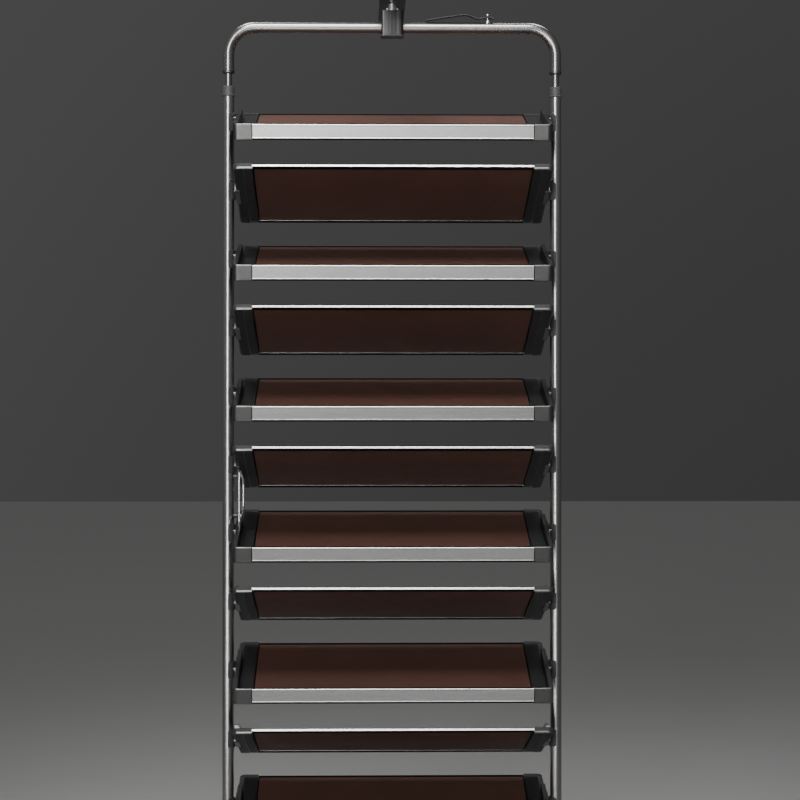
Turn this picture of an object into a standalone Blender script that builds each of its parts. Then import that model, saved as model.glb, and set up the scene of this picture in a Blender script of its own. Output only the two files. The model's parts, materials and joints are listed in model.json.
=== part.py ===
"""A two-sided rotating shoe rack for a tall wardrobe.

Two round uprights and two bent end tubes make a tall frame that spins between a
base plate on the wardrobe's floor and a plate on its ceiling. Twelve sloping
trays hang in the frame on side pins, facing front and rear by turns.

Metres, +Z up. The origin is on the spin axis, under the base plate. The viewer
of the front stands at -Y, and +X is on that viewer's right.
"""

import math

import bmesh
import bpy
from mathutils import Matrix, Vector

# Clearances between pieces
FIT_GAP = 0.0003
PIVOT_CLEARANCE = 0.0004

# Trays: how many, how far apart, and how steep
TRAY_COUNT = 12
TRAY_PITCH = 0.150
TRAY_TILT = math.radians(17.0)
TRAY_DEPTH = 0.300

# Tray panel with a thicker bead along its high edge
PANEL_WIDTH = 0.600
PANEL_THICKNESS = 0.005
BEAD_THICKNESS = 0.0066
BEAD_DEPTH = 0.007
PIVOT_ABOVE_PANEL = 0.003

# Aluminium lip rail along the low edge
LIP_HEIGHT = 0.031
LIP_THICKNESS = 0.0025
LIP_FOOT_DEPTH = 0.012
LIP_FOOT_THICKNESS = 0.0015
LIP_HEAD_DEPTH = 0.004
LIP_HEAD_HEIGHT = 0.003

# Moulded end caps
CAP_WIDTH = 0.0415
CAP_SIDE_CLEARANCE = 0.0057
CAP_PROUD = 0.0012
CAP_BELOW_PANEL = 0.0055
CAP_ABOVE_PANEL = 0.0015
CAP_CORNER_RADIUS = 0.012
CAP_FRONT_WALL = 0.004
CAP_RIM_THICKNESS = 0.010
CAP_RIM_LENGTH = 0.217
CAP_RIM_END_HEIGHT = 0.0224
CAP_RIM_STEP = 0.001
CAP_EDGE_RADIUS = 0.002
CAP_RIM_END_RADIUS = 0.005
HOUSING_LENGTH = 0.077
HOUSING_ABOVE_PIVOT = 0.016
HOUSING_BELOW_CAP = 0.0025
HOUSING_INSET = 0.008
HOUSING_CORNER_RADIUS = 0.005
PIN_RADIUS = 0.004
PIN_IN_WALL = 0.0008

# Frame tubes
TUBE_RADIUS = 0.0125
TUBE_WALL = 0.0015
ARCH_BEND_RADIUS = 0.060
UPRIGHT_ABOVE_TOP_PIVOT = 0.058
UPRIGHT_BELOW_LOW_PIVOT = 0.096

# Bracket saddles on the uprights
SADDLE_HEIGHT = 0.038
SADDLE_THICKNESS = 0.0035
SADDLE_ARC = math.radians(176.0)
SADDLE_SINK = 0.0007

# Telescopic joint between uprights and top arch
SPIGOT_RADIUS = 0.008
SPIGOT_INSERT = 0.150
SLIDE_GAP = 0.028
ARCH_LEG = 0.102
END_RING_RADIUS = 0.0132
END_RING_HEIGHT = 0.007
COLLAR_HEIGHT = 0.022
COLLAR_TOP_RADIUS = 0.0130
COLLAR_FOOT_RADIUS = 0.0140
COLLAR_FOOT_HEIGHT = 0.004
COLLAR_SLEEVE = 0.020

# Bottom arch, its hub, the thrust bearing and the base plate
BASE_RADIUS = 0.090
BASE_THICKNESS = 0.006
SPINDLE_RADIUS = 0.010
SPINDLE_IN_HUB = 0.026
BEARING_HEIGHT = 0.010
BEARING_RADIUS = 0.021
HUB_RADIUS = 0.024
HUB_HEIGHT = 0.057
BOTTOM_LEG = 0.065
BOTTOM_SPIGOT_INSERT = 0.050
SCREW_HOLE_RADIUS = 0.0028
BASE_SCREW_CIRCLE = 0.068
BASE_SCREW_COUNT = 4

# Top coupling, the pivot pin and the ceiling plate
COUPLING_WIDTH = 0.049
COUPLING_DEPTH = 0.036
COUPLING_CORNER_RADIUS = 0.005
COUPLING_ABOVE_ARCH = 0.0366
COUPLING_BELOW_ARCH = 0.0204
TOP_PIN_RADIUS = 0.006
TOP_PIN_IN_COUPLING = 0.018
TOP_PIN_NECK_RADIUS = 0.009
TOP_PIN_NECK_HEIGHT = 0.0155
TOP_PIN_SHOULDER_RADIUS = 0.0125
TOP_PIN_SHOULDER_HEIGHT = 0.003
CEILING_PLATE_WIDTH = 0.058
CEILING_PLATE_LENGTH = 0.400
CEILING_PLATE_THICKNESS = 0.004
CEILING_SCREW_MARGIN = 0.020
CEILING_SCREW_SPREAD = 0.036

# Wire handle on the left upright, between the sixth and seventh trays
HANDLE_UPPER_TRAY = 6
WIRE_RADIUS = 0.0025
HANDLE_INSET = 0.030
HANDLE_FRONT = -0.100
HANDLE_REAR = 0.055
HANDLE_FRONT_HEIGHT = 0.128
HANDLE_REAR_HEIGHT = 0.064
HANDLE_RISE = 0.006
HANDLE_BEND_RADIUS = 0.012

# Locating leaf spring on top of the arch
SPRING_FREE_END = 0.0746
SPRING_CREST = 0.1613
SPRING_VALLEY = 0.187
SPRING_STUD = 0.2104
SPRING_FIXED_END = 0.2234
SPRING_FREE_RISE = 0.0035
SPRING_CREST_RISE = 0.0156
SPRING_VALLEY_RISE = 0.0075
SPRING_STUD_RISE = 0.0109
SPRING_THICKNESS = 0.0012
SPRING_WIDTH = 0.016
STUD_BASE_RADIUS = 0.0075
STUD_BASE_HEIGHT = 0.0058
STUD_SHAFT_RADIUS = 0.0022
STUD_KNOB_RADIUS = 0.0037
STUD_KNOB_BOTTOM = 0.013
STUD_KNOB_TOP = 0.0188

# Facets
TUBE_SIDES = 20
PIN_SIDES = 12
SADDLE_STEPS = 8
BEND_STEPS = 7
EDGE_STEPS = 2
CORNER_STEPS = 4
BAR_BEVEL_RESOLUTION = 6
WIRE_BEVEL_RESOLUTION = 2
WELD_DISTANCE = 0.00001
SMOOTH_ANGLE = math.radians(35.0)

# Places across the rack, worked out from the tray outwards
CAP_INNER_X = PANEL_WIDTH / 2 + FIT_GAP
CAP_OUTER_X = CAP_INNER_X + CAP_WIDTH
UPRIGHT_X = CAP_OUTER_X + CAP_SIDE_CLEARANCE + TUBE_RADIUS
TUBE_BORE = TUBE_RADIUS - TUBE_WALL
PIN_TIP_X = UPRIGHT_X - TUBE_RADIUS + PIN_IN_WALL
HOUSING_OUTER_X = UPRIGHT_X - TUBE_RADIUS - SADDLE_THICKNESS - PIVOT_CLEARANCE

# Heights, stacked from the floor up
BEARING_BOTTOM = BASE_THICKNESS + FIT_GAP
HUB_BOTTOM = BEARING_BOTTOM + BEARING_HEIGHT + FIT_GAP
BOTTOM_ARCH_Z = HUB_BOTTOM + HUB_HEIGHT / 2
BOTTOM_LEG_TOP = BOTTOM_ARCH_Z + BOTTOM_LEG
UPRIGHT_BOTTOM = BOTTOM_LEG_TOP + FIT_GAP
LOWEST_PIVOT = UPRIGHT_BOTTOM + UPRIGHT_BELOW_LOW_PIVOT
TOP_PIVOT = LOWEST_PIVOT + (TRAY_COUNT - 1) * TRAY_PITCH
UPRIGHT_TOP = TOP_PIVOT + UPRIGHT_ABOVE_TOP_PIVOT
COLLAR_BOTTOM = UPRIGHT_TOP + FIT_GAP
COLLAR_TOP = COLLAR_BOTTOM + COLLAR_HEIGHT
ARCH_LEG_END = COLLAR_TOP + SLIDE_GAP
TOP_ARCH_Z = ARCH_LEG_END + ARCH_LEG
COUPLING_TOP = TOP_ARCH_Z + COUPLING_ABOVE_ARCH
CEILING_PLATE_BOTTOM = COUPLING_TOP + TOP_PIN_NECK_HEIGHT

# Heights in a tray's own frame, with the pivot axis at zero
PANEL_TOP = -PIVOT_ABOVE_PANEL
PANEL_BOTTOM = PANEL_TOP - PANEL_THICKNESS
LIP_BOTTOM = PANEL_BOTTOM - FIT_GAP - LIP_FOOT_THICKNESS
LIP_TOP = LIP_BOTTOM + LIP_HEIGHT
CAP_BOTTOM = PANEL_BOTTOM - CAP_BELOW_PANEL
CAP_FLOOR = PANEL_TOP + CAP_ABOVE_PANEL
CAP_TOP = LIP_TOP + CAP_PROUD

# Frames that lay a flat outline across, along or on the rack
OUTLINE_ACROSS = Matrix(((0, 0, 1), (1, 0, 0), (0, 1, 0))).to_4x4()
OUTLINE_ALONG = Matrix(((1, 0, 0), (0, 0, -1), (0, 1, 0))).to_4x4()
OUTLINE_FLAT = Matrix.Identity(4)


def clear_scene():
    for thing in list(bpy.data.objects):
        bpy.data.objects.remove(thing, do_unlink=True)
    for group in list(bpy.data.collections):
        bpy.data.collections.remove(group)


def new_collection(name):
    group = bpy.data.collections.new(name)
    bpy.context.scene.collection.children.link(group)
    return group


clear_scene()
PARTS = new_collection("rotating_shoe_rack")
CUTTERS = new_collection("cutters")


def finish(name, colour, roughness, metallic):
    """A plain finish for one kind of piece."""
    material = bpy.data.materials.new(name)
    material.use_nodes = True
    shader = material.node_tree.nodes["Principled BSDF"]
    shader.inputs["Base Color"].default_value = (*colour, 1.0)
    shader.inputs["Roughness"].default_value = roughness
    shader.inputs["Metallic"].default_value = metallic
    material.diffuse_color = (*colour, 1.0)
    return material


COFFEE_BROWN = finish("coffee_brown_panel", (0.070, 0.032, 0.023), 0.38, 0.0)
SATIN_ALUMINIUM = finish("satin_aluminium_rail", (0.56, 0.56, 0.57), 0.35, 1.0)
ANTHRACITE = finish("anthracite_plastic_cap", (0.030, 0.030, 0.032), 0.45, 0.0)
SATIN_STEEL = finish("satin_steel_tube", (0.42, 0.42, 0.43), 0.30, 1.0)
DARK_STEEL = finish("dark_satin_coupling", (0.10, 0.10, 0.10), 0.38, 1.0)
GREY_PLASTIC = finish("grey_plastic_collar", (0.12, 0.12, 0.12), 0.50, 0.0)
CHROME = finish("polished_wire", (0.72, 0.72, 0.73), 0.12, 1.0)
SPRING_STEEL = finish("spring_steel_leaf", (0.16, 0.16, 0.17), 0.35, 1.0)
ZINC_PLATE = finish("zinc_ceiling_plate", (0.30, 0.30, 0.31), 0.40, 1.0)
BLACK_STEEL = finish("black_base_plate", (0.035, 0.035, 0.037), 0.45, 0.6)
BEARING_STEEL = finish("bearing_steel", (0.38, 0.38, 0.40), 0.25, 1.0)


def place(name, data, group=CUTTERS):
    """Put a mesh or curve in the scene; a cutter or guide stays hidden."""
    piece = bpy.data.objects.new(name, data)
    group.objects.link(piece)
    if group is CUTTERS:
        piece.hide_render = True
        piece.display_type = "WIRE"
    return piece


def settled_mesh(piece, name):
    """The mesh of a piece with its modifiers or curve shape worked out, welded and facing out."""
    bpy.context.view_layer.update()
    graph = bpy.context.evaluated_depsgraph_get()
    mesh = bpy.data.meshes.new_from_object(piece.evaluated_get(graph))
    mesh.name = name
    work = bmesh.new()
    work.from_mesh(mesh)
    bmesh.ops.remove_doubles(work, verts=work.verts, dist=WELD_DISTANCE)
    bmesh.ops.recalc_face_normals(work, faces=work.faces)
    work.to_mesh(mesh)
    work.free()
    return mesh


def curve_to_mesh(guide):
    """A mesh object in place of a curve, ready to be cut or joined."""
    bpy.context.view_layer.update()
    mesh = settled_mesh(guide, guide.name)
    where = guide.matrix_world.copy()
    name = guide.name
    bpy.data.objects.remove(guide)
    piece = place(name, mesh)
    piece.matrix_world = where
    return piece


def rounded(corners, radii, steps, closed=True):
    """Points of an outline or path whose corners are rounded by arcs."""
    corners = [Vector(corner).to_3d() for corner in corners]
    last = len(corners) - 1
    points = []
    for index, corner in enumerate(corners):
        radius = radii[index]
        if radius == 0 or (not closed and index in (0, last)):
            points.append(corner)
            continue
        to_before = (corners[index - 1] - corner).normalized()
        to_after = (corners[(index + 1) % len(corners)] - corner).normalized()
        half = to_before.angle(to_after) / 2
        centre = corner + (to_before + to_after).normalized() * radius / math.sin(half)
        reach = radius / math.tan(half)
        start = (corner + to_before * reach - centre).normalized()
        end = (corner + to_after * reach - centre).normalized()
        for step in range(steps + 1):
            points.append(centre + start.slerp(end, step / steps) * radius)
    return points


def spline_curve(name, points, dimensions, cyclic):
    curve = bpy.data.curves.new(name, "CURVE")
    curve.dimensions = dimensions
    spline = curve.splines.new("POLY")
    spline.points.add(len(points) - 1)
    for target, point in zip(spline.points, points):
        target.co = (*point, 1.0)
    spline.use_cyclic_u = cyclic
    return curve


def extruded(name, points, frame, start, end):
    """A flat outline given a thickness, from start to end along its frame's third axis."""
    curve = spline_curve(name, points, "2D", True)
    curve.fill_mode = "BOTH"
    curve.extrude = (end - start) / 2
    guide = place(name, curve)
    guide.matrix_world = frame @ Matrix.Translation((0, 0, (start + end) / 2))
    return curve_to_mesh(guide)


def bar(name, points, radius, resolution, cyclic=False):
    """A round bar or wire along a path."""
    curve = spline_curve(name, points, "3D", cyclic)
    curve.bevel_depth = radius
    curve.bevel_resolution = resolution
    curve.use_fill_caps = not cyclic
    return curve_to_mesh(place(name, curve))


def turned(name, profile, sides, closed=False):
    """A shape turned about Z from (radius, height) points that run down its outer side."""
    work = bmesh.new()
    points = [work.verts.new((radius, 0.0, height)) for radius, height in profile]
    for first, second in zip(points, points[1:]):
        work.edges.new((first, second))
    if closed:
        work.edges.new((points[-1], points[0]))
    mesh = bpy.data.meshes.new(name)
    work.to_mesh(mesh)
    work.free()
    piece = place(name, mesh)
    screw = piece.modifiers.new("turn", "SCREW")
    screw.steps = sides
    screw.render_steps = sides
    screw.use_merge_vertices = True
    screw.merge_threshold = WELD_DISTANCE
    return piece


def cylinders(name, spans, radius, sides):
    """One mesh of straight cylinders, each from a start point to an end point."""
    work = bmesh.new()
    for start, end in spans:
        start = Vector(start)
        axis = Vector(end) - start
        turn = axis.to_track_quat("Z", "Y").to_matrix().to_4x4()
        bmesh.ops.create_cone(
            work,
            cap_ends=True,
            segments=sides,
            radius1=radius,
            radius2=radius,
            depth=axis.length,
            matrix=Matrix.Translation(start + axis / 2) @ turn,
        )
    mesh = bpy.data.meshes.new(name)
    work.to_mesh(mesh)
    work.free()
    return place(name, mesh)


def block(name, low, high):
    """A box between two corners."""
    low = Vector(low)
    high = Vector(high)
    work = bmesh.new()
    scale = Matrix.Diagonal(high - low).to_4x4()
    bmesh.ops.create_cube(work, size=1.0, matrix=Matrix.Translation((low + high) / 2) @ scale)
    mesh = bpy.data.meshes.new(name)
    work.to_mesh(mesh)
    work.free()
    return place(name, mesh)


def combine(piece, other, operation):
    modifier = piece.modifiers.new(other.name, "BOOLEAN")
    modifier.operation = operation
    modifier.object = other


def join(piece, *others):
    for other in others:
        combine(piece, other, "UNION")


def cut(piece, *others):
    for other in others:
        combine(piece, other, "DIFFERENCE")


def shade(mesh):
    mesh.shade_smooth()
    mesh.set_sharp_from_angle(angle=SMOOTH_ANGLE)


def show(name, form, material):
    """A finished piece of the rack, from a worked-out form that stands in place."""
    mesh = settled_mesh(form, name)
    mesh.transform(form.matrix_world)
    mesh.materials.clear()
    mesh.materials.append(material)
    shade(mesh)
    return place(name, mesh, PARTS)


# Tray pieces, in the tray's own frame: low edge at -Y, pivot axis along X
def panel_form():
    """The sloping shelf board, with a bead along its high edge."""
    front = -TRAY_DEPTH / 2 + LIP_THICKNESS + FIT_GAP
    back = TRAY_DEPTH / 2
    bead_front = back - BEAD_DEPTH
    swell = (BEAD_THICKNESS - PANEL_THICKNESS) / 2
    corners = [
        (front, PANEL_BOTTOM),
        (bead_front, PANEL_BOTTOM),
        (bead_front, PANEL_BOTTOM - swell),
        (back, PANEL_BOTTOM - swell),
        (back, PANEL_TOP + swell),
        (bead_front, PANEL_TOP + swell),
        (bead_front, PANEL_TOP),
        (front, PANEL_TOP),
    ]
    edge = BEAD_THICKNESS / 4
    radii = [0, 0, 0, edge, edge, 0, 0, 0]
    outline = rounded(corners, radii, EDGE_STEPS)
    return extruded("panel_form", outline, OUTLINE_ACROSS, -PANEL_WIDTH / 2, PANEL_WIDTH / 2)


def lip_rail_form():
    """The aluminium strip along the low edge, with a foot under the panel and a hooked head."""
    face = -TRAY_DEPTH / 2
    inner = face + LIP_THICKNESS
    foot_end = face + LIP_FOOT_DEPTH
    foot_top = LIP_BOTTOM + LIP_FOOT_THICKNESS
    head_back = face + LIP_HEAD_DEPTH
    head_bottom = LIP_TOP - LIP_HEAD_HEIGHT
    head_slope = LIP_HEAD_DEPTH - LIP_THICKNESS
    corners = [
        (face, LIP_BOTTOM),
        (foot_end, LIP_BOTTOM),
        (foot_end, foot_top),
        (inner, foot_top),
        (inner, head_bottom - head_slope),
        (head_back, head_bottom),
        (head_back, LIP_TOP),
        (face, LIP_TOP),
    ]
    edge = LIP_THICKNESS / 3
    radii = [edge, 0, 0, 0, 0, 0, edge, edge]
    outline = rounded(corners, radii, EDGE_STEPS)
    return extruded("lip_rail_form", outline, OUTLINE_ACROSS, -PANEL_WIDTH / 2, PANEL_WIDTH / 2)


def cap_form():
    """The moulded cap on the tray's +X end: floor, front wall, side rim, pivot housing and pin."""
    front = -TRAY_DEPTH / 2 - CAP_PROUD
    back = TRAY_DEPTH / 2 + CAP_PROUD
    rim_end = front + CAP_RIM_LENGTH
    rim_inner_x = CAP_OUTER_X - CAP_RIM_THICKNESS
    step_top = CAP_FLOOR + CAP_RIM_STEP
    side = [
        (front, CAP_BOTTOM),
        (back, CAP_BOTTOM),
        (back, step_top),
        (rim_end, step_top),
        (rim_end, CAP_FLOOR + CAP_RIM_END_HEIGHT),
        (front, CAP_TOP),
    ]
    edge = CAP_EDGE_RADIUS
    side_radii = [edge, edge, edge, 0, CAP_RIM_END_RADIUS, edge]
    outline = rounded(side, side_radii, EDGE_STEPS)
    cap = extruded("cap_form", outline, OUTLINE_ACROSS, CAP_INNER_X, CAP_OUTER_X)

    # The plan has round outer corners
    plan = [
        (CAP_INNER_X, front),
        (CAP_OUTER_X, front),
        (CAP_OUTER_X, back),
        (CAP_INNER_X, back),
    ]
    margin = CAP_EDGE_RADIUS
    plan_radii = [0, CAP_CORNER_RADIUS, CAP_CORNER_RADIUS, 0]
    plan_outline = rounded(plan, plan_radii, CORNER_STEPS)
    envelope = extruded(
        "cap_plan", plan_outline, OUTLINE_FLAT, CAP_BOTTOM - margin, CAP_TOP + margin
    )
    combine(cap, envelope, "INTERSECT")

    # The pocket leaves the floor, the front wall and the rim
    pocket_low = (CAP_INNER_X - margin, front + CAP_FRONT_WALL, CAP_FLOOR)
    pocket_high = (rim_inner_x, back + margin, CAP_TOP + margin)
    cut(cap, block("cap_pocket", pocket_low, pocket_high))

    # The housing on the rim holds a steel pin that turns in the upright's bracket
    reach = HOUSING_LENGTH / 2
    housing_bottom = CAP_BOTTOM - HOUSING_BELOW_CAP
    housing_side = [
        (-reach, housing_bottom),
        (reach, housing_bottom),
        (reach, HOUSING_ABOVE_PIVOT),
        (-reach, HOUSING_ABOVE_PIVOT),
    ]
    housing_outline = rounded(housing_side, [HOUSING_CORNER_RADIUS] * len(housing_side), EDGE_STEPS)
    housing_start = CAP_OUTER_X - HOUSING_INSET
    housing = extruded("cap_housing", housing_outline, OUTLINE_ACROSS, housing_start, HOUSING_OUTER_X)
    rim_middle = (rim_inner_x + CAP_RIM_THICKNESS / 2, 0, 0)
    pin = cylinders("cap_pin", [(rim_middle, (PIN_TIP_X, 0, 0))], PIN_RADIUS, PIN_SIDES)
    join(cap, housing, pin)
    return cap


def mirrored_mesh(mesh, name):
    """The same piece for the other end of the tray."""
    other = mesh.copy()
    other.name = name
    other.transform(Matrix.Diagonal((-1.0, 1.0, 1.0, 1.0)))
    other.flip_normals()
    return other


def tray_mesh(form, name, material):
    mesh = settled_mesh(form, name)
    mesh.transform(form.matrix_world)
    mesh.materials.clear()
    mesh.materials.append(material)
    shade(mesh)
    return mesh


def pivot_height(number):
    """Height of a tray's pivot axis; tray 1 is the top one."""
    return LOWEST_PIVOT + (TRAY_COUNT - number) * TRAY_PITCH


def build_trays():
    """Twelve trays of four pieces; even trays are the same tray turned to the rear."""
    panel = tray_mesh(panel_form(), "tray_panel", COFFEE_BROWN)
    lip_rail = tray_mesh(lip_rail_form(), "tray_lip_rail", SATIN_ALUMINIUM)
    plus_cap = tray_mesh(cap_form(), "tray_plus_cap", ANTHRACITE)
    minus_cap = mirrored_mesh(plus_cap, "tray_minus_cap")
    for number in range(1, TRAY_COUNT + 1):
        faces_rear = number % 2 == 0
        pivot = bpy.data.objects.new(f"tray_{number:02d}_pivot", None)
        PARTS.objects.link(pivot)
        pivot.location = (0, 0, pivot_height(number))
        pivot.rotation_euler = (TRAY_TILT, 0, math.pi if faces_rear else 0)
        pieces = {
            "panel": panel,
            "lip_rail": lip_rail,
            "left_cap": plus_cap if faces_rear else minus_cap,
            "right_cap": minus_cap if faces_rear else plus_cap,
        }
        for kind, mesh in pieces.items():
            piece = place(f"tray_{number:02d}_{kind}", mesh, PARTS)
            piece.parent = pivot


# Frame pieces, in the rack's own frame
def saddles_form(name, side):
    """The bracket saddles of one upright: a half shell at every tray, on the tube's inner side."""
    outer = TUBE_RADIUS + SADDLE_THICKNESS
    inner = TUBE_RADIUS - SADDLE_SINK
    inward = math.pi if side > 0 else 0.0
    angles = [inward + SADDLE_ARC * (step / SADDLE_STEPS - 0.5) for step in range(SADDLE_STEPS + 1)]
    outline = [Vector((outer * math.cos(a), outer * math.sin(a), 0)) for a in angles]
    outline += [Vector((inner * math.cos(a), inner * math.sin(a), 0)) for a in reversed(angles)]
    half = SADDLE_HEIGHT / 2
    one = extruded(name + "_one", outline, OUTLINE_FLAT, -half, half)
    work = bmesh.new()
    for number in range(1, TRAY_COUNT + 1):
        copy = one.data.copy()
        copy.transform(Matrix.Translation((side * UPRIGHT_X, 0, pivot_height(number))))
        work.from_mesh(copy)
        bpy.data.meshes.remove(copy)
    mesh = bpy.data.meshes.new(name)
    work.to_mesh(mesh)
    work.free()
    bpy.data.objects.remove(one)
    return place(name, mesh)


def upright_form(name, side):
    """A tube with a bracket saddle and a drilled pivot hole at every tray."""
    profile = [
        (TUBE_BORE, UPRIGHT_TOP),
        (TUBE_RADIUS, UPRIGHT_TOP),
        (TUBE_RADIUS, UPRIGHT_BOTTOM),
        (TUBE_BORE, UPRIGHT_BOTTOM),
    ]
    tube = turned(name + "_form", profile, TUBE_SIDES, closed=True)
    tube.location = (side * UPRIGHT_X, 0, 0)
    join(tube, saddles_form(name + "_saddles", side))
    spans = []
    for number in range(1, TRAY_COUNT + 1):
        height = pivot_height(number)
        spans.append(((side * CAP_OUTER_X, 0, height), (side * UPRIGHT_X, 0, height)))
    hole_radius = PIN_RADIUS + PIVOT_CLEARANCE
    cut(tube, cylinders(name + "_pivot_holes", spans, hole_radius, PIN_SIDES))
    return tube


def collar_form(name, side):
    """The plastic collar that guides the top arch's spigot into an upright."""
    bore = SPIGOT_RADIUS + FIT_GAP
    sleeve = TUBE_BORE - FIT_GAP
    profile = [
        (bore, COLLAR_TOP),
        (COLLAR_TOP_RADIUS, COLLAR_TOP),
        (COLLAR_TOP_RADIUS, COLLAR_BOTTOM + COLLAR_FOOT_HEIGHT),
        (COLLAR_FOOT_RADIUS, COLLAR_BOTTOM + COLLAR_FOOT_HEIGHT),
        (COLLAR_FOOT_RADIUS, COLLAR_BOTTOM),
        (sleeve, COLLAR_BOTTOM),
        (sleeve, COLLAR_BOTTOM - COLLAR_SLEEVE),
        (bore, COLLAR_BOTTOM - COLLAR_SLEEVE),
    ]
    collar = turned(name + "_form", profile, TUBE_SIDES, closed=True)
    collar.location = (side * UPRIGHT_X, 0, 0)
    return collar


def arch_bar(name, height, leg_end):
    """A tube bent to a wide U in the plane of the uprights."""
    corners = [
        (-UPRIGHT_X, 0, leg_end),
        (-UPRIGHT_X, 0, height),
        (UPRIGHT_X, 0, height),
        (UPRIGHT_X, 0, leg_end),
    ]
    bend = ARCH_BEND_RADIUS
    path = rounded(corners, [0, bend, bend, 0], BEND_STEPS, closed=False)
    return bar(name, path, TUBE_RADIUS, BAR_BEVEL_RESOLUTION)


def on_both_legs(start_z, end_z):
    """Upright spans at the two leg ends."""
    return [((x, 0, start_z), (x, 0, end_z)) for x in (-UPRIGHT_X, UPRIGHT_X)]


def bottom_arch_form():
    """The lower bent tube with its welded hub, and spigots that plug into the uprights."""
    arch = arch_bar("bottom_arch_form", BOTTOM_ARCH_Z, BOTTOM_LEG_TOP)
    hub_top = HUB_BOTTOM + HUB_HEIGHT
    hub = cylinders("hub", [((0, 0, HUB_BOTTOM), (0, 0, hub_top))], HUB_RADIUS, TUBE_SIDES)
    spigot_start = BOTTOM_LEG_TOP - TUBE_RADIUS
    spigot_end = UPRIGHT_BOTTOM + BOTTOM_SPIGOT_INSERT
    spigots = cylinders(
        "bottom_spigots", on_both_legs(spigot_start, spigot_end), TUBE_BORE - FIT_GAP, TUBE_SIDES
    )
    join(arch, hub, spigots)
    bore_bottom = (0, 0, HUB_BOTTOM - BEARING_HEIGHT)
    bore_top = (0, 0, HUB_BOTTOM + SPINDLE_IN_HUB + FIT_GAP)
    bore_radius = SPINDLE_RADIUS + PIVOT_CLEARANCE
    cut(arch, cylinders("spindle_bore", [(bore_bottom, bore_top)], bore_radius, TUBE_SIDES))
    return arch


def top_arch_form():
    """The upper bent tube with end rings and the narrow spigots of the telescopic joint."""
    arch = arch_bar("top_arch_form", TOP_ARCH_Z, ARCH_LEG_END + END_RING_HEIGHT / 2)
    rings = cylinders(
        "end_rings",
        on_both_legs(ARCH_LEG_END, ARCH_LEG_END + END_RING_HEIGHT),
        END_RING_RADIUS,
        TUBE_SIDES,
    )
    spigot_end = UPRIGHT_TOP - SPIGOT_INSERT
    spigot_start = ARCH_LEG_END + END_RING_HEIGHT / 2
    spigots = cylinders(
        "top_spigots", on_both_legs(spigot_end, spigot_start), SPIGOT_RADIUS, TUBE_SIDES
    )
    join(arch, rings, spigots)
    return arch


def coupling_form():
    """The coupling block in the middle of the top arch, with a socket for the pivot pin."""
    bottom = TOP_ARCH_Z - COUPLING_BELOW_ARCH
    half_width = COUPLING_WIDTH / 2
    half_depth = COUPLING_DEPTH / 2
    plan = [
        (-half_width, -half_depth),
        (half_width, -half_depth),
        (half_width, half_depth),
        (-half_width, half_depth),
    ]
    outline = rounded(plan, [COUPLING_CORNER_RADIUS] * len(plan), CORNER_STEPS)
    coupling = extruded("coupling_form", outline, OUTLINE_FLAT, bottom, COUPLING_TOP)
    reach = half_width + TUBE_RADIUS
    across = [((-reach, 0, TOP_ARCH_Z), (reach, 0, TOP_ARCH_Z))]
    socket_bottom = COUPLING_TOP - TOP_PIN_IN_COUPLING - FIT_GAP
    socket = [((0, 0, socket_bottom), (0, 0, CEILING_PLATE_BOTTOM))]
    cut(
        coupling,
        cylinders("arch_bore", across, TUBE_RADIUS + FIT_GAP, TUBE_SIDES),
        cylinders("pin_socket", socket, TOP_PIN_RADIUS + PIVOT_CLEARANCE, TUBE_SIDES),
    )
    return coupling


def top_mount_form():
    """The ceiling plate with its turned pivot pin."""
    half_width = CEILING_PLATE_WIDTH / 2
    half_length = CEILING_PLATE_LENGTH / 2
    plate_top = CEILING_PLATE_BOTTOM + CEILING_PLATE_THICKNESS
    plate = block(
        "top_mount_form",
        (-half_width, -half_length, CEILING_PLATE_BOTTOM),
        (half_width, half_length, plate_top),
    )
    shoulder_bottom = COUPLING_TOP + FIT_GAP
    shoulder_top = shoulder_bottom + TOP_PIN_SHOULDER_HEIGHT
    pin_bottom = COUPLING_TOP - TOP_PIN_IN_COUPLING
    pin_top = CEILING_PLATE_BOTTOM + CEILING_PLATE_THICKNESS / 2
    profile = [
        (0, pin_top),
        (TOP_PIN_NECK_RADIUS, pin_top),
        (TOP_PIN_NECK_RADIUS, shoulder_top),
        (TOP_PIN_SHOULDER_RADIUS, shoulder_top),
        (TOP_PIN_SHOULDER_RADIUS, shoulder_bottom),
        (TOP_PIN_RADIUS, shoulder_bottom),
        (TOP_PIN_RADIUS, pin_bottom),
        (0, pin_bottom),
    ]
    join(plate, turned("top_pin", profile, TUBE_SIDES))
    hole_y = half_length - CEILING_SCREW_MARGIN
    hole_x = CEILING_SCREW_SPREAD / 2
    spans = []
    for x in (-hole_x, hole_x):
        for y in (-hole_y, hole_y):
            spans.append(((x, y, COUPLING_TOP), (x, y, plate_top + SCREW_HOLE_RADIUS)))
    cut(plate, cylinders("ceiling_screw_holes", spans, SCREW_HOLE_RADIUS, PIN_SIDES))
    return plate


def base_plate_form():
    """The round floor plate with its spindle and screw holes."""
    spindle_top = HUB_BOTTOM + SPINDLE_IN_HUB
    profile = [
        (0, spindle_top),
        (SPINDLE_RADIUS, spindle_top),
        (SPINDLE_RADIUS, BASE_THICKNESS),
        (BASE_RADIUS, BASE_THICKNESS),
        (BASE_RADIUS, 0),
        (0, 0),
    ]
    plate = turned("base_plate_form", profile, 2 * TUBE_SIDES)
    spans = []
    for index in range(BASE_SCREW_COUNT):
        angle = 2 * math.pi * (index + 0.5) / BASE_SCREW_COUNT
        x = BASE_SCREW_CIRCLE * math.cos(angle)
        y = BASE_SCREW_CIRCLE * math.sin(angle)
        spans.append(((x, y, -BASE_THICKNESS), (x, y, 2 * BASE_THICKNESS)))
    cut(plate, cylinders("base_screw_holes", spans, SCREW_HOLE_RADIUS, PIN_SIDES))
    return plate


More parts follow.
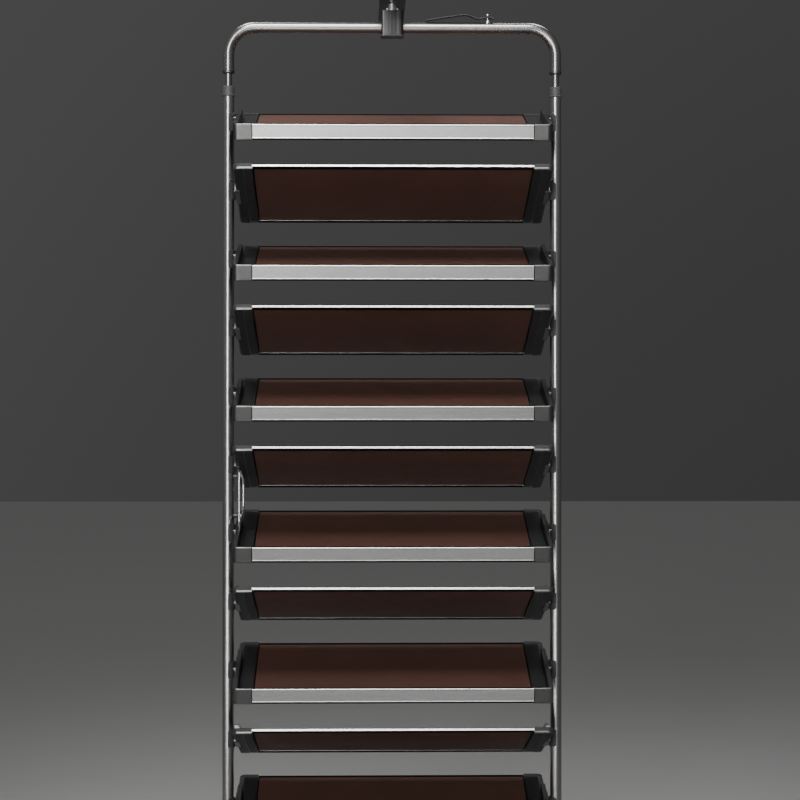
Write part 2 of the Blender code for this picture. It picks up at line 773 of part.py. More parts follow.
def thrust_bearing_form():
    """The flat bearing that carries the hub on the base plate."""
    bore = SPINDLE_RADIUS + FIT_GAP
    top = BEARING_BOTTOM + BEARING_HEIGHT
    profile = [
        (bore, top),
        (BEARING_RADIUS, top),
        (BEARING_RADIUS, BEARING_BOTTOM),
        (bore, BEARING_BOTTOM),
    ]
    return turned("thrust_bearing_form", profile, TUBE_SIDES, closed=True)


def handle_form():
    """A closed wire loop beside the left upright, tall in front and short behind."""
    x = -UPRIGHT_X + HANDLE_INSET
    middle = (pivot_height(HANDLE_UPPER_TRAY) + pivot_height(HANDLE_UPPER_TRAY + 1)) / 2 + HANDLE_RISE
    front_half = HANDLE_FRONT_HEIGHT / 2
    rear_half = HANDLE_REAR_HEIGHT / 2
    corners = [
        (x, HANDLE_FRONT, middle + front_half),
        (x, HANDLE_REAR, middle + rear_half),
        (x, HANDLE_REAR, middle - rear_half),
        (x, HANDLE_FRONT, middle - front_half),
    ]
    path = rounded(corners, [HANDLE_BEND_RADIUS] * 4, EDGE_STEPS)
    loop = bar("handle_form", path, WIRE_RADIUS, WIRE_BEVEL_RESOLUTION, cyclic=True)
    along = -HANDLE_FRONT / (HANDLE_REAR - HANDLE_FRONT)
    reach = front_half + (rear_half - front_half) * along
    wall_x = -UPRIGHT_X + TUBE_RADIUS + FIT_GAP
    spans = [((x, 0, middle + lift), (wall_x, 0, middle + lift)) for lift in (reach, -reach)]
    join(loop, cylinders("handle_stubs", spans, WIRE_RADIUS, PIN_SIDES))
    return loop


def spring_form():
    """The leaf spring on the arch, held by a stud with a round knob."""
    tube_top = TOP_ARCH_Z + TUBE_RADIUS
    line = [
        Vector((SPRING_FREE_END, tube_top + SPRING_FREE_RISE)),
        Vector((SPRING_CREST, tube_top + SPRING_CREST_RISE)),
        Vector((SPRING_VALLEY, tube_top + SPRING_VALLEY_RISE)),
        Vector((SPRING_STUD, tube_top + SPRING_STUD_RISE)),
        Vector((SPRING_FIXED_END, tube_top + SPRING_VALLEY_RISE)),
    ]
    lift = Vector((0, SPRING_THICKNESS))
    outline = [point.to_3d() for point in line]
    outline += [(point + lift).to_3d() for point in reversed(line)]
    half = SPRING_WIDTH / 2
    leaf = extruded("spring_form", outline, OUTLINE_ALONG, -half, half)
    profile = [
        (0, STUD_KNOB_TOP),
        (STUD_KNOB_RADIUS * math.sin(math.pi / 4), STUD_KNOB_TOP),
        (STUD_KNOB_RADIUS, (STUD_KNOB_TOP + STUD_KNOB_BOTTOM) / 2),
        (STUD_SHAFT_RADIUS, STUD_KNOB_BOTTOM),
        (STUD_SHAFT_RADIUS, STUD_BASE_HEIGHT),
        (STUD_BASE_RADIUS * math.sin(math.pi / 4), STUD_BASE_HEIGHT),
        (STUD_BASE_RADIUS, STUD_BASE_HEIGHT / 2),
        (STUD_BASE_RADIUS, -TUBE_RADIUS),
        (0, -TUBE_RADIUS),
    ]
    stud = turned("spring_stud", profile, PIN_SIDES)
    stud.location = (SPRING_STUD, 0, tube_top)
    join(leaf, stud)
    seat_start = (SPRING_STUD - SPRING_WIDTH, 0, TOP_ARCH_Z)
    seat_end = (SPRING_STUD + SPRING_WIDTH, 0, TOP_ARCH_Z)
    cut(leaf, cylinders("spring_seat", [(seat_start, seat_end)], TUBE_RADIUS + FIT_GAP, TUBE_SIDES))
    return leaf


def build_frame():
    show("base_plate", base_plate_form(), BLACK_STEEL)
    show("thrust_bearing", thrust_bearing_form(), BEARING_STEEL)
    show("bottom_arch", bottom_arch_form(), SATIN_STEEL)
    for word, side in (("left", -1), ("right", 1)):
        show(f"{word}_upright", upright_form(f"{word}_upright", side), SATIN_STEEL)
        show(f"{word}_collar", collar_form(f"{word}_collar", side), GREY_PLASTIC)
    show("handle_loop", handle_form(), CHROME)
    show("top_arch", top_arch_form(), SATIN_STEEL)
    show("top_coupling", coupling_form(), DARK_STEEL)
    show("locating_spring", spring_form(), SPRING_STEEL)
    show("top_mount", top_mount_form(), ZINC_PLATE)


build_trays()
build_frame()
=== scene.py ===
# %% [markdown]
# # Dressing a rotating shoe rack
# The rack is a tall frame of steel tube that spins between a floor plate and a ceiling
# plate. Twelve sloping trays hang in it on side pins and face front and rear by turns.
# The frame file already holds every piece at its true place, so this lesson never
# measures by eye: it loads that frame, keeps its box, and builds finer pieces on it.

# %% Load the frame
import json
import math

import bmesh
import bpy
from mathutils import Matrix, Vector

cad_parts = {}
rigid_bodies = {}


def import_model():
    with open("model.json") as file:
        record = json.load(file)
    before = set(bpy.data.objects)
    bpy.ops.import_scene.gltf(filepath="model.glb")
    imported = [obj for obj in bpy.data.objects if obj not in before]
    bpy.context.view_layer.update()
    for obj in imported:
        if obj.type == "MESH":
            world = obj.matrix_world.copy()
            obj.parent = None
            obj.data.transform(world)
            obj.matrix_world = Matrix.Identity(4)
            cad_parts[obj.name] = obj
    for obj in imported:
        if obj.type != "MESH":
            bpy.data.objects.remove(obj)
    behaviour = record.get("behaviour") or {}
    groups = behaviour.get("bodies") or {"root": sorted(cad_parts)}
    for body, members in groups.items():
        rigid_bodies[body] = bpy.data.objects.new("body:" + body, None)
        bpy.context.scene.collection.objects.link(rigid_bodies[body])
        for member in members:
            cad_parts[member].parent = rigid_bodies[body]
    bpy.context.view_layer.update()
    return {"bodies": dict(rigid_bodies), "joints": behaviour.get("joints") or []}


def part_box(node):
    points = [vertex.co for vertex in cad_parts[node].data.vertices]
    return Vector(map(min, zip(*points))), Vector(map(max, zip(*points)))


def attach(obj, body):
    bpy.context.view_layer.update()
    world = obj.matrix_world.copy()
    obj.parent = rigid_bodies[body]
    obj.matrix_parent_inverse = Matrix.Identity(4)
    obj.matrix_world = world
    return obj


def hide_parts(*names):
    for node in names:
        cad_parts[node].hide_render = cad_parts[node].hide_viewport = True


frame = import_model()

# %% [markdown]
# ## Where things are
# Each tray turns on a pin axis, and the record of the frame gives that axis as the place of
# a joint. The uprights and the two bent tubes can be read from the boxes of their nodes.
# Reading places from the frame, instead of typing them again, keeps the dressed pieces on
# the solids when a size changes there.

# %% Read the main places
MM = 0.001
TUBE_RADIUS = 12.5 * MM
TRAY_TILT = math.radians(17.0)

joint_places = {joint["name"]: Vector(joint.get("pos_m") or (0, 0, 0)) for joint in frame["joints"]}
tray_names = sorted(name for name in frame["bodies"] if name.startswith("tray_"))
UPRIGHT_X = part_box("right_upright")[1].x - TUBE_RADIUS
UPRIGHT_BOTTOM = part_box("right_upright")[0].z
UPRIGHT_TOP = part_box("right_upright")[1].z
TOP_ARCH_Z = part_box("top_arch")[1].z - TUBE_RADIUS
BOTTOM_ARCH_Z = joint_places["rack_spin"].z
print("trays:", len(tray_names), "upright at x =", round(UPRIGHT_X, 4))


def faces_rear(tray):
    """Even trays are the same tray turned half round."""
    return int(tray[-2:]) % 2 == 0


def tray_frame(tray):
    """Places the tray's own frame: pin axis along X, low edge at -Y."""
    turn = math.pi if faces_rear(tray) else 0.0
    pivot = Matrix.Translation(joint_places[tray + "_tilt"])
    return pivot @ Matrix.Rotation(turn, 4, "Z") @ Matrix.Rotation(TRAY_TILT, 4, "X")


# %% [markdown]
# ## The camera
# The photograph was taken with a long lens, a little to the left of the rack and near the
# height of its middle tray. A long lens from far away keeps the trays almost parallel. The
# place below came from fitting the tray edges, and the lens goes with the sensor's width.

# %% Place the camera
CAMERA_PLACE = Vector((-0.0704, -4.4451, 1.2144))
CAMERA_TARGET = Vector((0.0171, 0.0, 1.2475))
CAMERA_LENS = 90.95
SENSOR_WIDTH = 36.0

camera_data = bpy.data.cameras.new("photo_camera")
camera_data.lens = CAMERA_LENS
camera_data.sensor_width = SENSOR_WIDTH
camera_data.dof.use_dof = False
camera = bpy.data.objects.new("photo_camera", camera_data)
camera.location = CAMERA_PLACE
camera.rotation_euler = (CAMERA_TARGET - CAMERA_PLACE).to_track_quat("-Z", "Y").to_euler()
bpy.context.scene.collection.objects.link(camera)
bpy.context.scene.camera = camera
print("camera stands", round((CAMERA_TARGET - CAMERA_PLACE).length, 3), "m from the rack")

# %% [markdown]
# ## Light
# Satin tube and aluminium show their surroundings more than their own colour, so each light
# has one job. A tall box far to the left draws the thin bright line on both uprights. Two wide
# boxes over the floor in front make that floor pale, and the lips of the trays mirror it: the
# nearer a lip is to the ground, the less of the bright patch it sees. A key box above the
# front and a fill box farther out light the boards and the rails, and their grids keep them
# off the floor. A box right above lifts the tops of all pieces. Two boxes with grids, high
# behind the rack, light its other side without drawing more lines on the tubes. The world is a
# quiet grey, lighter toward the front left, so that metal has something dark to reflect too.

# %% Make the world
WORLD_LOW = 0.035
WORLD_HIGH = 0.26
WORLD_BRIGHT_SIDE = Vector((-0.42, -0.85, 0.3))


def set_sockets(node, **sockets):
    """Sets sockets of a node by name, with _ for the spaces of the name."""
    for socket, value in sockets.items():
        node.inputs[socket.replace("_", " ")].default_value = value
    return node


def quiet_world():
    """A world that goes from dark to less dark with its direction."""
    world = bpy.data.worlds.new("quiet_grey")
    world.use_nodes = True
    nodes = world.node_tree.nodes
    links = world.node_tree.links
    direction = nodes.new("ShaderNodeTexCoord")
    toward = nodes.new("ShaderNodeVectorMath")
    toward.operation = "DOT_PRODUCT"
    toward.inputs[1].default_value = WORLD_BRIGHT_SIDE
    level = set_sockets(nodes.new("ShaderNodeMapRange"), From_Min=-1.0, To_Min=WORLD_LOW, To_Max=WORLD_HIGH)
    links.new(direction.outputs["Generated"], toward.inputs[0])
    links.new(toward.outputs["Value"], level.inputs["Value"])
    background = set_sockets(nodes["Background"], Color=(1.0, 1.0, 1.0, 1.0))
    links.new(level.outputs["Result"], background.inputs["Strength"])
    return world


bpy.context.scene.world = quiet_world()
print("world strength runs from", WORLD_LOW, "to", WORLD_HIGH)

# %% Set the lights
RACK_MIDDLE = (0.0, 0.0, 1.2)


def soft_box(name, place, target, size, watts, spread=180.0):
    """An area light that faces a point; a spread below 180 degrees acts as a grid."""
    data = bpy.data.lights.new(name, "AREA")
    data.shape = "RECTANGLE"
    data.size, data.size_y = size
    data.energy = watts
    data.spread = math.radians(spread)
    light = bpy.data.objects.new(name, data)
    light.location = place
    light.rotation_euler = (Vector(target) - Vector(place)).to_track_quat("-Z", "Y").to_euler()
    light.visible_camera = False
    bpy.context.scene.collection.objects.link(light)


soft_box("tall_left_box", (-3.75, -14.0, 2.7), target=(0.0, 0.0, 2.2), size=(1.3, 5.8), watts=600.0)
soft_box(
    "floor_box", (-2.4, -7.0, 3.0), target=(-2.4, -7.0, 0.0),
    size=(2.6, 2.4), watts=1080.0, spread=132.0,
)
soft_box(
    "far_floor_box", (-0.3, -11.0, 3.2), target=(-0.3, -11.0, 0.0),
    size=(3.0, 4.0), watts=100.0, spread=100.0,
)
soft_box("key_box", (-0.3, -2.6, 4.9), target=(0.0, 0.0, 1.7), size=(2.2, 1.5), watts=11.4, spread=41.0)
soft_box(
    "front_fill_box", (-0.6, -6.5, 4.0), target=(0.0, 0.0, 1.4),
    size=(3.0, 2.4), watts=7.0, spread=40.0,
)
soft_box("ceiling_box", (0.0, -0.7, 5.2), target=(0.0, -0.7, 0.0), size=(3.0, 1.4), watts=7.5)
soft_box("rear_left_box", (-1.3, 1.4, 5.7), target=RACK_MIDDLE, size=(1.6, 1.6), watts=5.0, spread=45.0)
soft_box("rear_right_box", (1.4, 1.5, 5.6), target=RACK_MIDDLE, size=(1.6, 1.6), watts=4.0, spread=45.0)

# %% [markdown]
# ## Node helpers for the finishes
# Every finish below starts from the Principled shader. Values that are the same all over are
# set on its sockets. What varies comes from noise in the piece's own coordinates, so that the
# pattern rides with the piece: the noise feeds a Map Range for roughness, a colour ramp for
# tone, and a Bump node for the small relief.

# %% Write the node helpers
# Noise seldom leaves these two values, so they are its dark end and its light end
NOISE_LOW = 0.3
NOISE_HIGH = 0.7


def base_finish(name, colour, roughness, metallic=0.0, **sockets):
    """A material with the values that are the same all over."""
    material = bpy.data.materials.new(name)
    material.use_nodes = True
    material.diffuse_color = (*colour, 1.0)
    shader = material.node_tree.nodes["Principled BSDF"]
    set_sockets(shader, Base_Color=(*colour, 1.0), Roughness=roughness, Metallic=metallic, **sockets)
    return material


def noise(tree, per_metre, detail=2.0, stretch=(1.0, 1.0, 1.0)):
    """Noise in the piece's own coordinates; stretch below 1 draws it out along that axis."""
    place = tree.nodes.new("ShaderNodeTexCoord")
    mapping = set_sockets(tree.nodes.new("ShaderNodeMapping"), Scale=stretch)
    texture = set_sockets(tree.nodes.new("ShaderNodeTexNoise"), Scale=per_metre, Detail=detail)
    tree.links.new(place.outputs["Object"], mapping.inputs["Vector"])
    tree.links.new(mapping.outputs["Vector"], texture.inputs["Vector"])
    return texture.outputs["Fac"]


def vary(material, node, inlet, outlet, socket, pattern):
    """Leads noise through a node to a socket of the shader."""
    tree = material.node_tree
    tree.links.new(noise(tree, **pattern), node.inputs[inlet])
    tree.links.new(node.outputs[outlet], tree.nodes["Principled BSDF"].inputs[socket])


def vary_roughness(material, low, high, **pattern):
    spread = material.node_tree.nodes.new("ShaderNodeMapRange")
    set_sockets(spread, From_Min=NOISE_LOW, From_Max=NOISE_HIGH, To_Min=low, To_Max=high)
    vary(material, spread, "Value", "Result", "Roughness", pattern)


def vary_colour(material, dark, light, **pattern):
    ramp = material.node_tree.nodes.new("ShaderNodeValToRGB")
    for stop, place, colour in zip(ramp.color_ramp.elements, (NOISE_LOW, NOISE_HIGH), (dark, light)):
        stop.position = place
        stop.color = (*colour, 1.0)
    vary(material, ramp, "Fac", "Color", "Base Color", pattern)


def add_relief(material, height, strength, **pattern):
    bump = set_sockets(material.node_tree.nodes.new("ShaderNodeBump"), Distance=height, Strength=strength)
    vary(material, bump, "Height", "Normal", "Normal", pattern)


print("noise is read from", NOISE_LOW, "to", NOISE_HIGH)

# %% [markdown]
# ## Finishes of the trays
# The boards are coffee-brown lacquer: a slow mottle in the tone and a very fine orange peel.
# The lips and rails are bead-blasted and anodised aluminium, so they sparkle without showing
# lines. The end caps are mouldings with a dark metallic coat, so they are metal to the shader,
# with an edge tint that keeps them dark at a low angle. The brackets are plain dark plastic.
# The covers of the caps are black plastic that paints the shade on their floors and undersides,
# and the seals are black rubber strips that paint the shade lines in the gaps along the edges.

# %% Make the finishes of the trays
LACQUER = base_finish("coffee_lacquer", (0.094, 0.0465, 0.0352), 0.55, Specular_IOR_Level=0.1)
mottle = {"per_metre": 9.0, "detail": 4.0, "stretch": (1.0, 0.35, 1.0)}
vary_colour(LACQUER, (0.087, 0.0430, 0.0325), (0.101, 0.0500, 0.0379), **mottle)
vary_roughness(LACQUER, 0.51, 0.59, per_metre=35.0)
add_relief(LACQUER, 0.03 * MM, 0.3, per_metre=900.0)

ALUMINIUM = base_finish("blasted_aluminium", (0.74, 0.74, 0.74), 0.26, 1.0)
vary_colour(ALUMINIUM, (0.69, 0.69, 0.685), (0.79, 0.79, 0.785), per_metre=1100.0)
vary_roughness(ALUMINIUM, 0.235, 0.275, per_metre=420.0, detail=3.0)
add_relief(ALUMINIUM, 0.02 * MM, 0.35, per_metre=1100.0)

# The coat is pale where it mirrors light and nearly black elsewhere
DIM_EDGE = (0.6, 0.6, 0.6, 1.0)
GUNMETAL = base_finish("gunmetal_moulding", (0.188, 0.188, 0.188), 0.31, 1.0, Specular_Tint=DIM_EDGE)
vary_colour(GUNMETAL, (0.178, 0.178, 0.178), (0.198, 0.198, 0.197), per_metre=500.0, detail=3.0)
vary_roughness(GUNMETAL, 0.28, 0.34, per_metre=240.0)
add_relief(GUNMETAL, 0.02 * MM, 0.15, per_metre=1100.0, detail=3.0)

# Black rubber for the seals, which paint the shade lines in the gaps along the tray edges
SEAL_SHADE_RUBBER = base_finish("seal_shade_rubber", (0.003, 0.003, 0.003), 0.7, Specular_IOR_Level=0.04)
vary_roughness(SEAL_SHADE_RUBBER, 0.64, 0.76, per_metre=300.0)


def dark_moulding(name, tone, sheen):
    """Plain dark plastic."""
    material = base_finish(name, (tone, tone, tone * 1.01), 0.48, Specular_IOR_Level=sheen)
    vary_roughness(material, 0.42, 0.55, per_metre=240.0)
    add_relief(material, 0.03 * MM, 0.35, per_metre=1000.0)
    return material


# Black plastic for the covers, which paint the shade on the caps' floors and undersides
SHADE_COVER_PLASTIC = dark_moulding("black_shade_moulding", tone=0.027, sheen=0.06)
BRACKET_PLASTIC = dark_moulding("bracket_moulding", tone=0.042, sheen=0.20)
print("materials so far:", len(bpy.data.materials))

# %% [markdown]
# ## Finishes of the frame
# The tubes are satin steel, drawn along their length, so their noise is stretched along Z. The
# top tube is a darker copy of that steel: painted shade that dims the floor it mirrors. The
# pins, the bearing and the spring have the fine rings of turned steel instead. The block round
# the top tube is dark brushed steel, and soft bands of lighter and darker tone are painted on
# it as its reflections. The handle is polished, the collars are grey plastic, and the floor
# plate and the ceiling plate have a powder coat.

# %% Make the finishes of the frame


def satin_tube(name, tone, low, high):
    """Steel drawn along Z: the grain is fine around the tube and long on it."""
    material = base_finish(name, (tone, tone, tone * 0.99), (low + high) / 2, 1.0)
    drawn = {"per_metre": 700.0, "detail": 3.0, "stretch": (1.0, 1.0, 0.02)}
    vary_roughness(material, low, high, **drawn)
    add_relief(material, 0.004 * MM, 0.1, **drawn)
    return material


def turned_steel(name, tone, low, high):
    """Steel with the fine rings that a lathe leaves."""
    material = base_finish(name, (tone, tone, tone), (low + high) / 2, 1.0)
    rings = {"per_metre": 900.0, "stretch": (0.05, 0.05, 1.0)}
    vary_roughness(material, low, high, **rings)
    add_relief(material, 0.01 * MM, 0.3, **rings)
    return material


def powder_coat(name, tone):
    """Sprayed powder, melted to a fine orange peel."""
    material = base_finish(name, (tone, tone, tone * 1.04), 0.48, 0.1)
    vary_roughness(material, 0.42, 0.55, per_metre=520.0)
    add_relief(material, 0.08 * MM, 0.5, per_metre=520.0)
    return material


TUBE_STEEL = satin_tube("satin_tube_steel", tone=0.38, low=0.20, high=0.26)
# A darker copy of the tube steel, as painted shade that dims the floor the top tube mirrors
SHADED_ARCH_STEEL = satin_tube("top_tube_steel_painted_shade", tone=0.32, low=0.20, high=0.26)
INNER_STEEL = satin_tube("inner_tube_steel", tone=0.30, low=0.20, high=0.27)
TRAY_PIN_STEEL = turned_steel("dark_turned_steel", tone=0.23, low=0.34, high=0.44)
BEARING_STEEL = turned_steel("bearing_steel", tone=0.50, low=0.20, high=0.30)
TOP_PIN_STEEL = turned_steel("bright_turned_steel", tone=0.85, low=0.32, high=0.40)
SPRING_STEEL = turned_steel("spring_steel", tone=0.08, low=0.40, high=0.52)
BLOCK_STEEL = satin_tube("block_steel_painted_bands", tone=0.07, low=0.30, high=0.38)
# Soft bands of lighter and darker tone, long along Z, paint the block's reflections
painted_reflection_bands = {"per_metre": 150.0, "detail": 1.0, "stretch": (1.0, 0.2, 0.005)}
vary_colour(BLOCK_STEEL, (0.030, 0.030, 0.030), (0.110, 0.110, 0.109), **painted_reflection_bands)
POLISHED = base_finish("polished_steel", (0.80, 0.80, 0.81), 0.12, 1.0)
vary_roughness(POLISHED, 0.08, 0.17, per_metre=300.0)
GREY_PLASTIC = base_finish("grey_moulding", (0.065, 0.065, 0.066), 0.5)
vary_roughness(GREY_PLASTIC, 0.44, 0.56, per_metre=240.0)
add_relief(GREY_PLASTIC, 0.04 * MM, 0.4, per_metre=1000.0)
CEILING_COAT = powder_coat("ceiling_plate_coat", tone=0.050)
FLOOR_PLATE_COAT = powder_coat("floor_plate_coat", tone=0.035)
print("materials in all:", len(bpy.data.materials))

# %% [markdown]
# ## Outlines
# Most pieces start as a flat outline with a few corners. A function that rounds each corner by
# its own radius gives the soft shapes of bent sheet and moulded plastic, and the corners stay
# easy to read. An outline is drawn in two axes and gets its thickness along the third, and the
# three matrices below say which.

# %% Write the outline helpers
# ACROSS draws (y, z) and thickens along x, ALONG draws (x, z) and thickens along -y
ACROSS = Matrix(((0, 0, 1), (1, 0, 0), (0, 1, 0))).to_4x4()
ALONG = Matrix(((1, 0, 0), (0, 0, -1), (0, 1, 0))).to_4x4()
FLAT = Matrix.Identity(4)


def mm(*lengths):
    """Several lengths in millimetres, such as the radii of an outline's corners."""
    return [length * MM for length in lengths]


def on_circle(radius, angle):
    return (radius * math.cos(angle), radius * math.sin(angle))


def rectangle(start, end):
    """The corners of a rectangle from two that face each other."""
    return [(start[0], start[1]), (end[0], start[1]), (end[0], end[1]), (start[0], end[1])]


def stepped(inner, top, *steps):
    """The profile of a turned piece from its top down; a step is a radius and its lower end."""
    corners = [(inner, top)]
    for radius, bottom in steps:
        corners += [(radius, corners[-1][1]), (radius, bottom)]
    return [*corners, (inner, corners[-1][1])]


def rounded(corners, radii, steps=6, closed=True):
    """Points of an outline or a path whose corners are rounded by arcs."""
    corners = [Vector(corner).to_3d() for corner in corners]
    points = []
    for index, corner in enumerate(corners):
        radius = radii[index]
        if radius == 0 or (not closed and index in (0, len(corners) - 1)):
            points.append(corner)
            continue
        before = (corners[index - 1] - corner).normalized()
        after = (corners[(index + 1) % len(corners)] - corner).normalized()
        half = before.angle(after) / 2
        centre = corner + (before + after).normalized() * radius / math.sin(half)
        reach = radius / math.tan(half)
        start = (corner + before * reach - centre).normalized()
        end = (corner + after * reach - centre).normalized()
        points += [centre + start.slerp(end, step / steps) * radius for step in range(steps + 1)]
    return points


print("a rounded square has", len(rounded(rectangle((0, 0), (1, 1)), [0.1] * 4)), "points")

# %% [markdown]
# ## Shapes
# Three tools turn lines into solids. A slab is an outline with a thickness, and a box is the
# plainest slab. A turned piece is a profile spun about Z, as on a lathe, and a rod is the
# plainest of those. A wire is a curve with a round bevel. All of them work in bmesh, which
# builds a mesh in memory without touching the scene.

# %% Write the shape helpers
WELD = 0.001 * MM


def mesh_from(work):
    """Turns a bmesh into a mesh with its faces pointing out."""
    bmesh.ops.remove_doubles(work, verts=work.verts, dist=WELD)
    bmesh.ops.recalc_face_normals(work, faces=work.faces)
    mesh = bpy.data.meshes.new("form")
    work.to_mesh(mesh)
    work.free()
    return mesh


def slab(outline, axes, low, high):
    """A flat outline with a thickness from low to high along its third axis."""
    work = bmesh.new()
    ring = [work.verts.new((point[0], point[1], low)) for point in outline]
    grown = bmesh.ops.extrude_face_region(work, geom=[work.faces.new(ring)])
    lifted = [item for item in grown["geom"] if isinstance(item, bmesh.types.BMVert)]
    bmesh.ops.translate(work, verts=lifted, vec=(0, 0, high - low))
    bmesh.ops.transform(work, matrix=axes, verts=work.verts)
    return mesh_from(work)


def block(start, end, radii, axes, low, high, steps=6):
    """A slab whose outline is a rectangle with rounded corners."""
    return slab(rounded(rectangle(start, end), radii, steps), axes, low, high)


def box_mesh(low, high):
    """A plain box between two corners."""
    return slab(rectangle(low, high), FLAT, low[2], high[2])


def turned(profile, sides=48, ring=False):
    """A profile of (radius, height) points spun about Z; a ring's profile goes back to its start."""
    points = [*profile, profile[0]] if ring else profile
    work = bmesh.new()
    line = [work.verts.new((point[0], 0, point[1])) for point in points]
    edges = [work.edges.new(pair) for pair in zip(line, line[1:])]
    bmesh.ops.spin(
        work, geom=line + edges, axis=(0, 0, 1), cent=(0, 0, 0), angle=math.tau, steps=sides, use_merge=True
    )
    return mesh_from(work)


def rod(radius, bottom, top, sides=48):
    """A plain round bar about Z."""
    return turned(stepped(0, top, (radius, bottom)), sides)


def wire(points, radius, resolution=8, cyclic=False):
    """A round bar along a path."""
    curve = bpy.data.curves.new("wire", "CURVE")
    curve.dimensions = "3D"
    curve.bevel_depth = radius
    curve.bevel_resolution = resolution
    curve.use_fill_caps = not cyclic
    spline = curve.splines.new("POLY")
    spline.points.add(len(points) - 1)
    for target, point in zip(spline.points, points):
        target.co = (*point, 1.0)
    spline.use_cyclic_u = cyclic
    guide = bpy.data.objects.new("wire", curve)
    work = bmesh.new()
    work.from_mesh(guide.to_mesh())
    guide.to_mesh_clear()
    bpy.data.objects.remove(guide)
    return mesh_from(work)


sample = rod(1.0, 0.0, 1.0)
print("a plain rod has", len(sample.polygons), "faces")
bpy.data.meshes.remove(sample)

# %% [markdown]
# ## Joining and carving
# A moulding is rarely one slab. Boolean modifiers join and cut the plain shapes, and a Bevel
# modifier breaks the sharp edges, because a real edge always catches a thin line of light. The
# helper applies them at once and hands back a plain mesh.

# %% Write the joining helpers
BEVEL_ANGLE = math.radians(40.0)


def moved(mesh, matrix):
    """The same mesh in another place; a mirrored one is turned right side out again."""
    mesh.transform(matrix)
    if matrix.determinant() < 0:
        mesh.flip_normals()
    return mesh


def joined(*meshes):
    """Several meshes as one, without melting them together."""
    work = bmesh.new()
    for mesh in meshes:
        work.from_mesh(mesh)
        bpy.data.meshes.remove(mesh)
    mesh = bpy.data.meshes.new("form")
    work.to_mesh(mesh)
    work.free()
    return mesh


def carved(mesh, add=(), cut=(), keep=(), edge=0.0, edge_steps=2):
    """Boolean joins and cuts, then a bevel on what is left sharp."""
    helpers = []
    body = bpy.data.objects.new("carving", mesh)
    bpy.context.scene.collection.objects.link(body)
    for operation, others in (("INTERSECT", keep), ("UNION", add), ("DIFFERENCE", cut)):
        for other in others:
            helper = bpy.data.objects.new("helper", other)
            bpy.context.scene.collection.objects.link(helper)
            helpers.append(helper)
            modifier = body.modifiers.new(operation, "BOOLEAN")
            modifier.operation = operation
            modifier.object = helper
    if edge:
        bevel = body.modifiers.new("edge", "BEVEL")
        bevel.width = edge
        bevel.segments = edge_steps
        bevel.limit_method = "ANGLE"
        bevel.angle_limit = BEVEL_ANGLE
        bevel.use_clamp_overlap = True
    bpy.context.view_layer.update()
    graph = bpy.context.evaluated_depsgraph_get()
    result = bpy.data.meshes.new_from_object(body.evaluated_get(graph))
    for thing in [body, *helpers]:
        used = thing.data
        bpy.data.objects.remove(thing)
        bpy.data.meshes.remove(used)
    return result


sample = carved(box_mesh((0, 0, 0), (1, 1, 1)), edge=0.1)
print("a box with broken edges has", len(sample.polygons), "faces")
bpy.data.meshes.remove(sample)

# %% [markdown]
# ## Putting a piece on the rack
# A mesh only becomes part of the rack when it has a finish, a place and a body to ride on.
# The helper does all of these at once, and names the frame nodes that the piece stands for,
# so that the plain solids are hidden.

# %% Write the placing helper
SMOOTH_ANGLE = math.radians(34.0)


def put(name, mesh, finish, body, where=FLAT, stands_for=()):
    """A dressed piece in place, riding on a body of the frame."""
    if not mesh.materials:
        mesh.shade_smooth()
        mesh.set_sharp_from_angle(angle=SMOOTH_ANGLE)
        mesh.materials.append(finish)
        mesh.name = name
    piece = bpy.data.objects.new(name, mesh)
    bpy.context.scene.collection.objects.link(piece)
    piece.matrix_world = where
    piece.modifiers.new("flat faces stay flat", "WEIGHTED_NORMAL").keep_sharp = True
    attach(piece, body)
    if stands_for:
        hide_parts(*stands_for)


print("bends up to", round(math.degrees(SMOOTH_ANGLE)), "degrees are shaded smooth")

# %% [markdown]
# ## The uprights and their brackets
# Each upright is one length of thin tube. On its inner side, at every tray, sits a moulded
# saddle that holds the pin. The saddle is an arc-shaped slab; what it shares with a window
# that has round corners is the finished bracket. One mesh serves all the trays.

# %% Make the uprights
TUBE_WALL = 1.5 * MM
TUBE_BORE = TUBE_RADIUS - TUBE_WALL
TUBE_CHAMFER = 0.4 * MM
SIDES = {"left": -1, "right": 1}


def open_tube(outer, inner, bottom, top, sides=64):
    """A tube with broken edges; rounding in one step leaves a straight chamfer."""
    corners = stepped(inner, top, (outer, bottom))
    return turned(rounded(corners, [0, TUBE_CHAMFER, TUBE_CHAMFER, 0], steps=1), sides, ring=True)


def on_upright(side, height=0.0):
    """A place on the axis of an upright."""
    return Matrix.Translation((side * UPRIGHT_X, 0, height))


for word, side in SIDES.items():
    tube = open_tube(TUBE_RADIUS, TUBE_BORE, UPRIGHT_BOTTOM, UPRIGHT_TOP)
    place = on_upright(side)
    put(f"{word}_upright_tube", tube, TUBE_STEEL, "rack", place, [f"{word}_upright"])
print("upright tubes run from", round(UPRIGHT_BOTTOM, 4), "to", round(UPRIGHT_TOP, 4))

# %% Make the brackets
SADDLE_HEIGHT = 38 * MM
SADDLE_OUTER = 16 * MM
SADDLE_ARC = math.radians(176)
SADDLE_STEPS = 32
SADDLE_CORNER = 5 * MM
SADDLE_EDGE = 0.7 * MM
SADDLE_SEAT = TUBE_RADIUS + 0.05 * MM
PIN_HOLE = 4.4 * MM


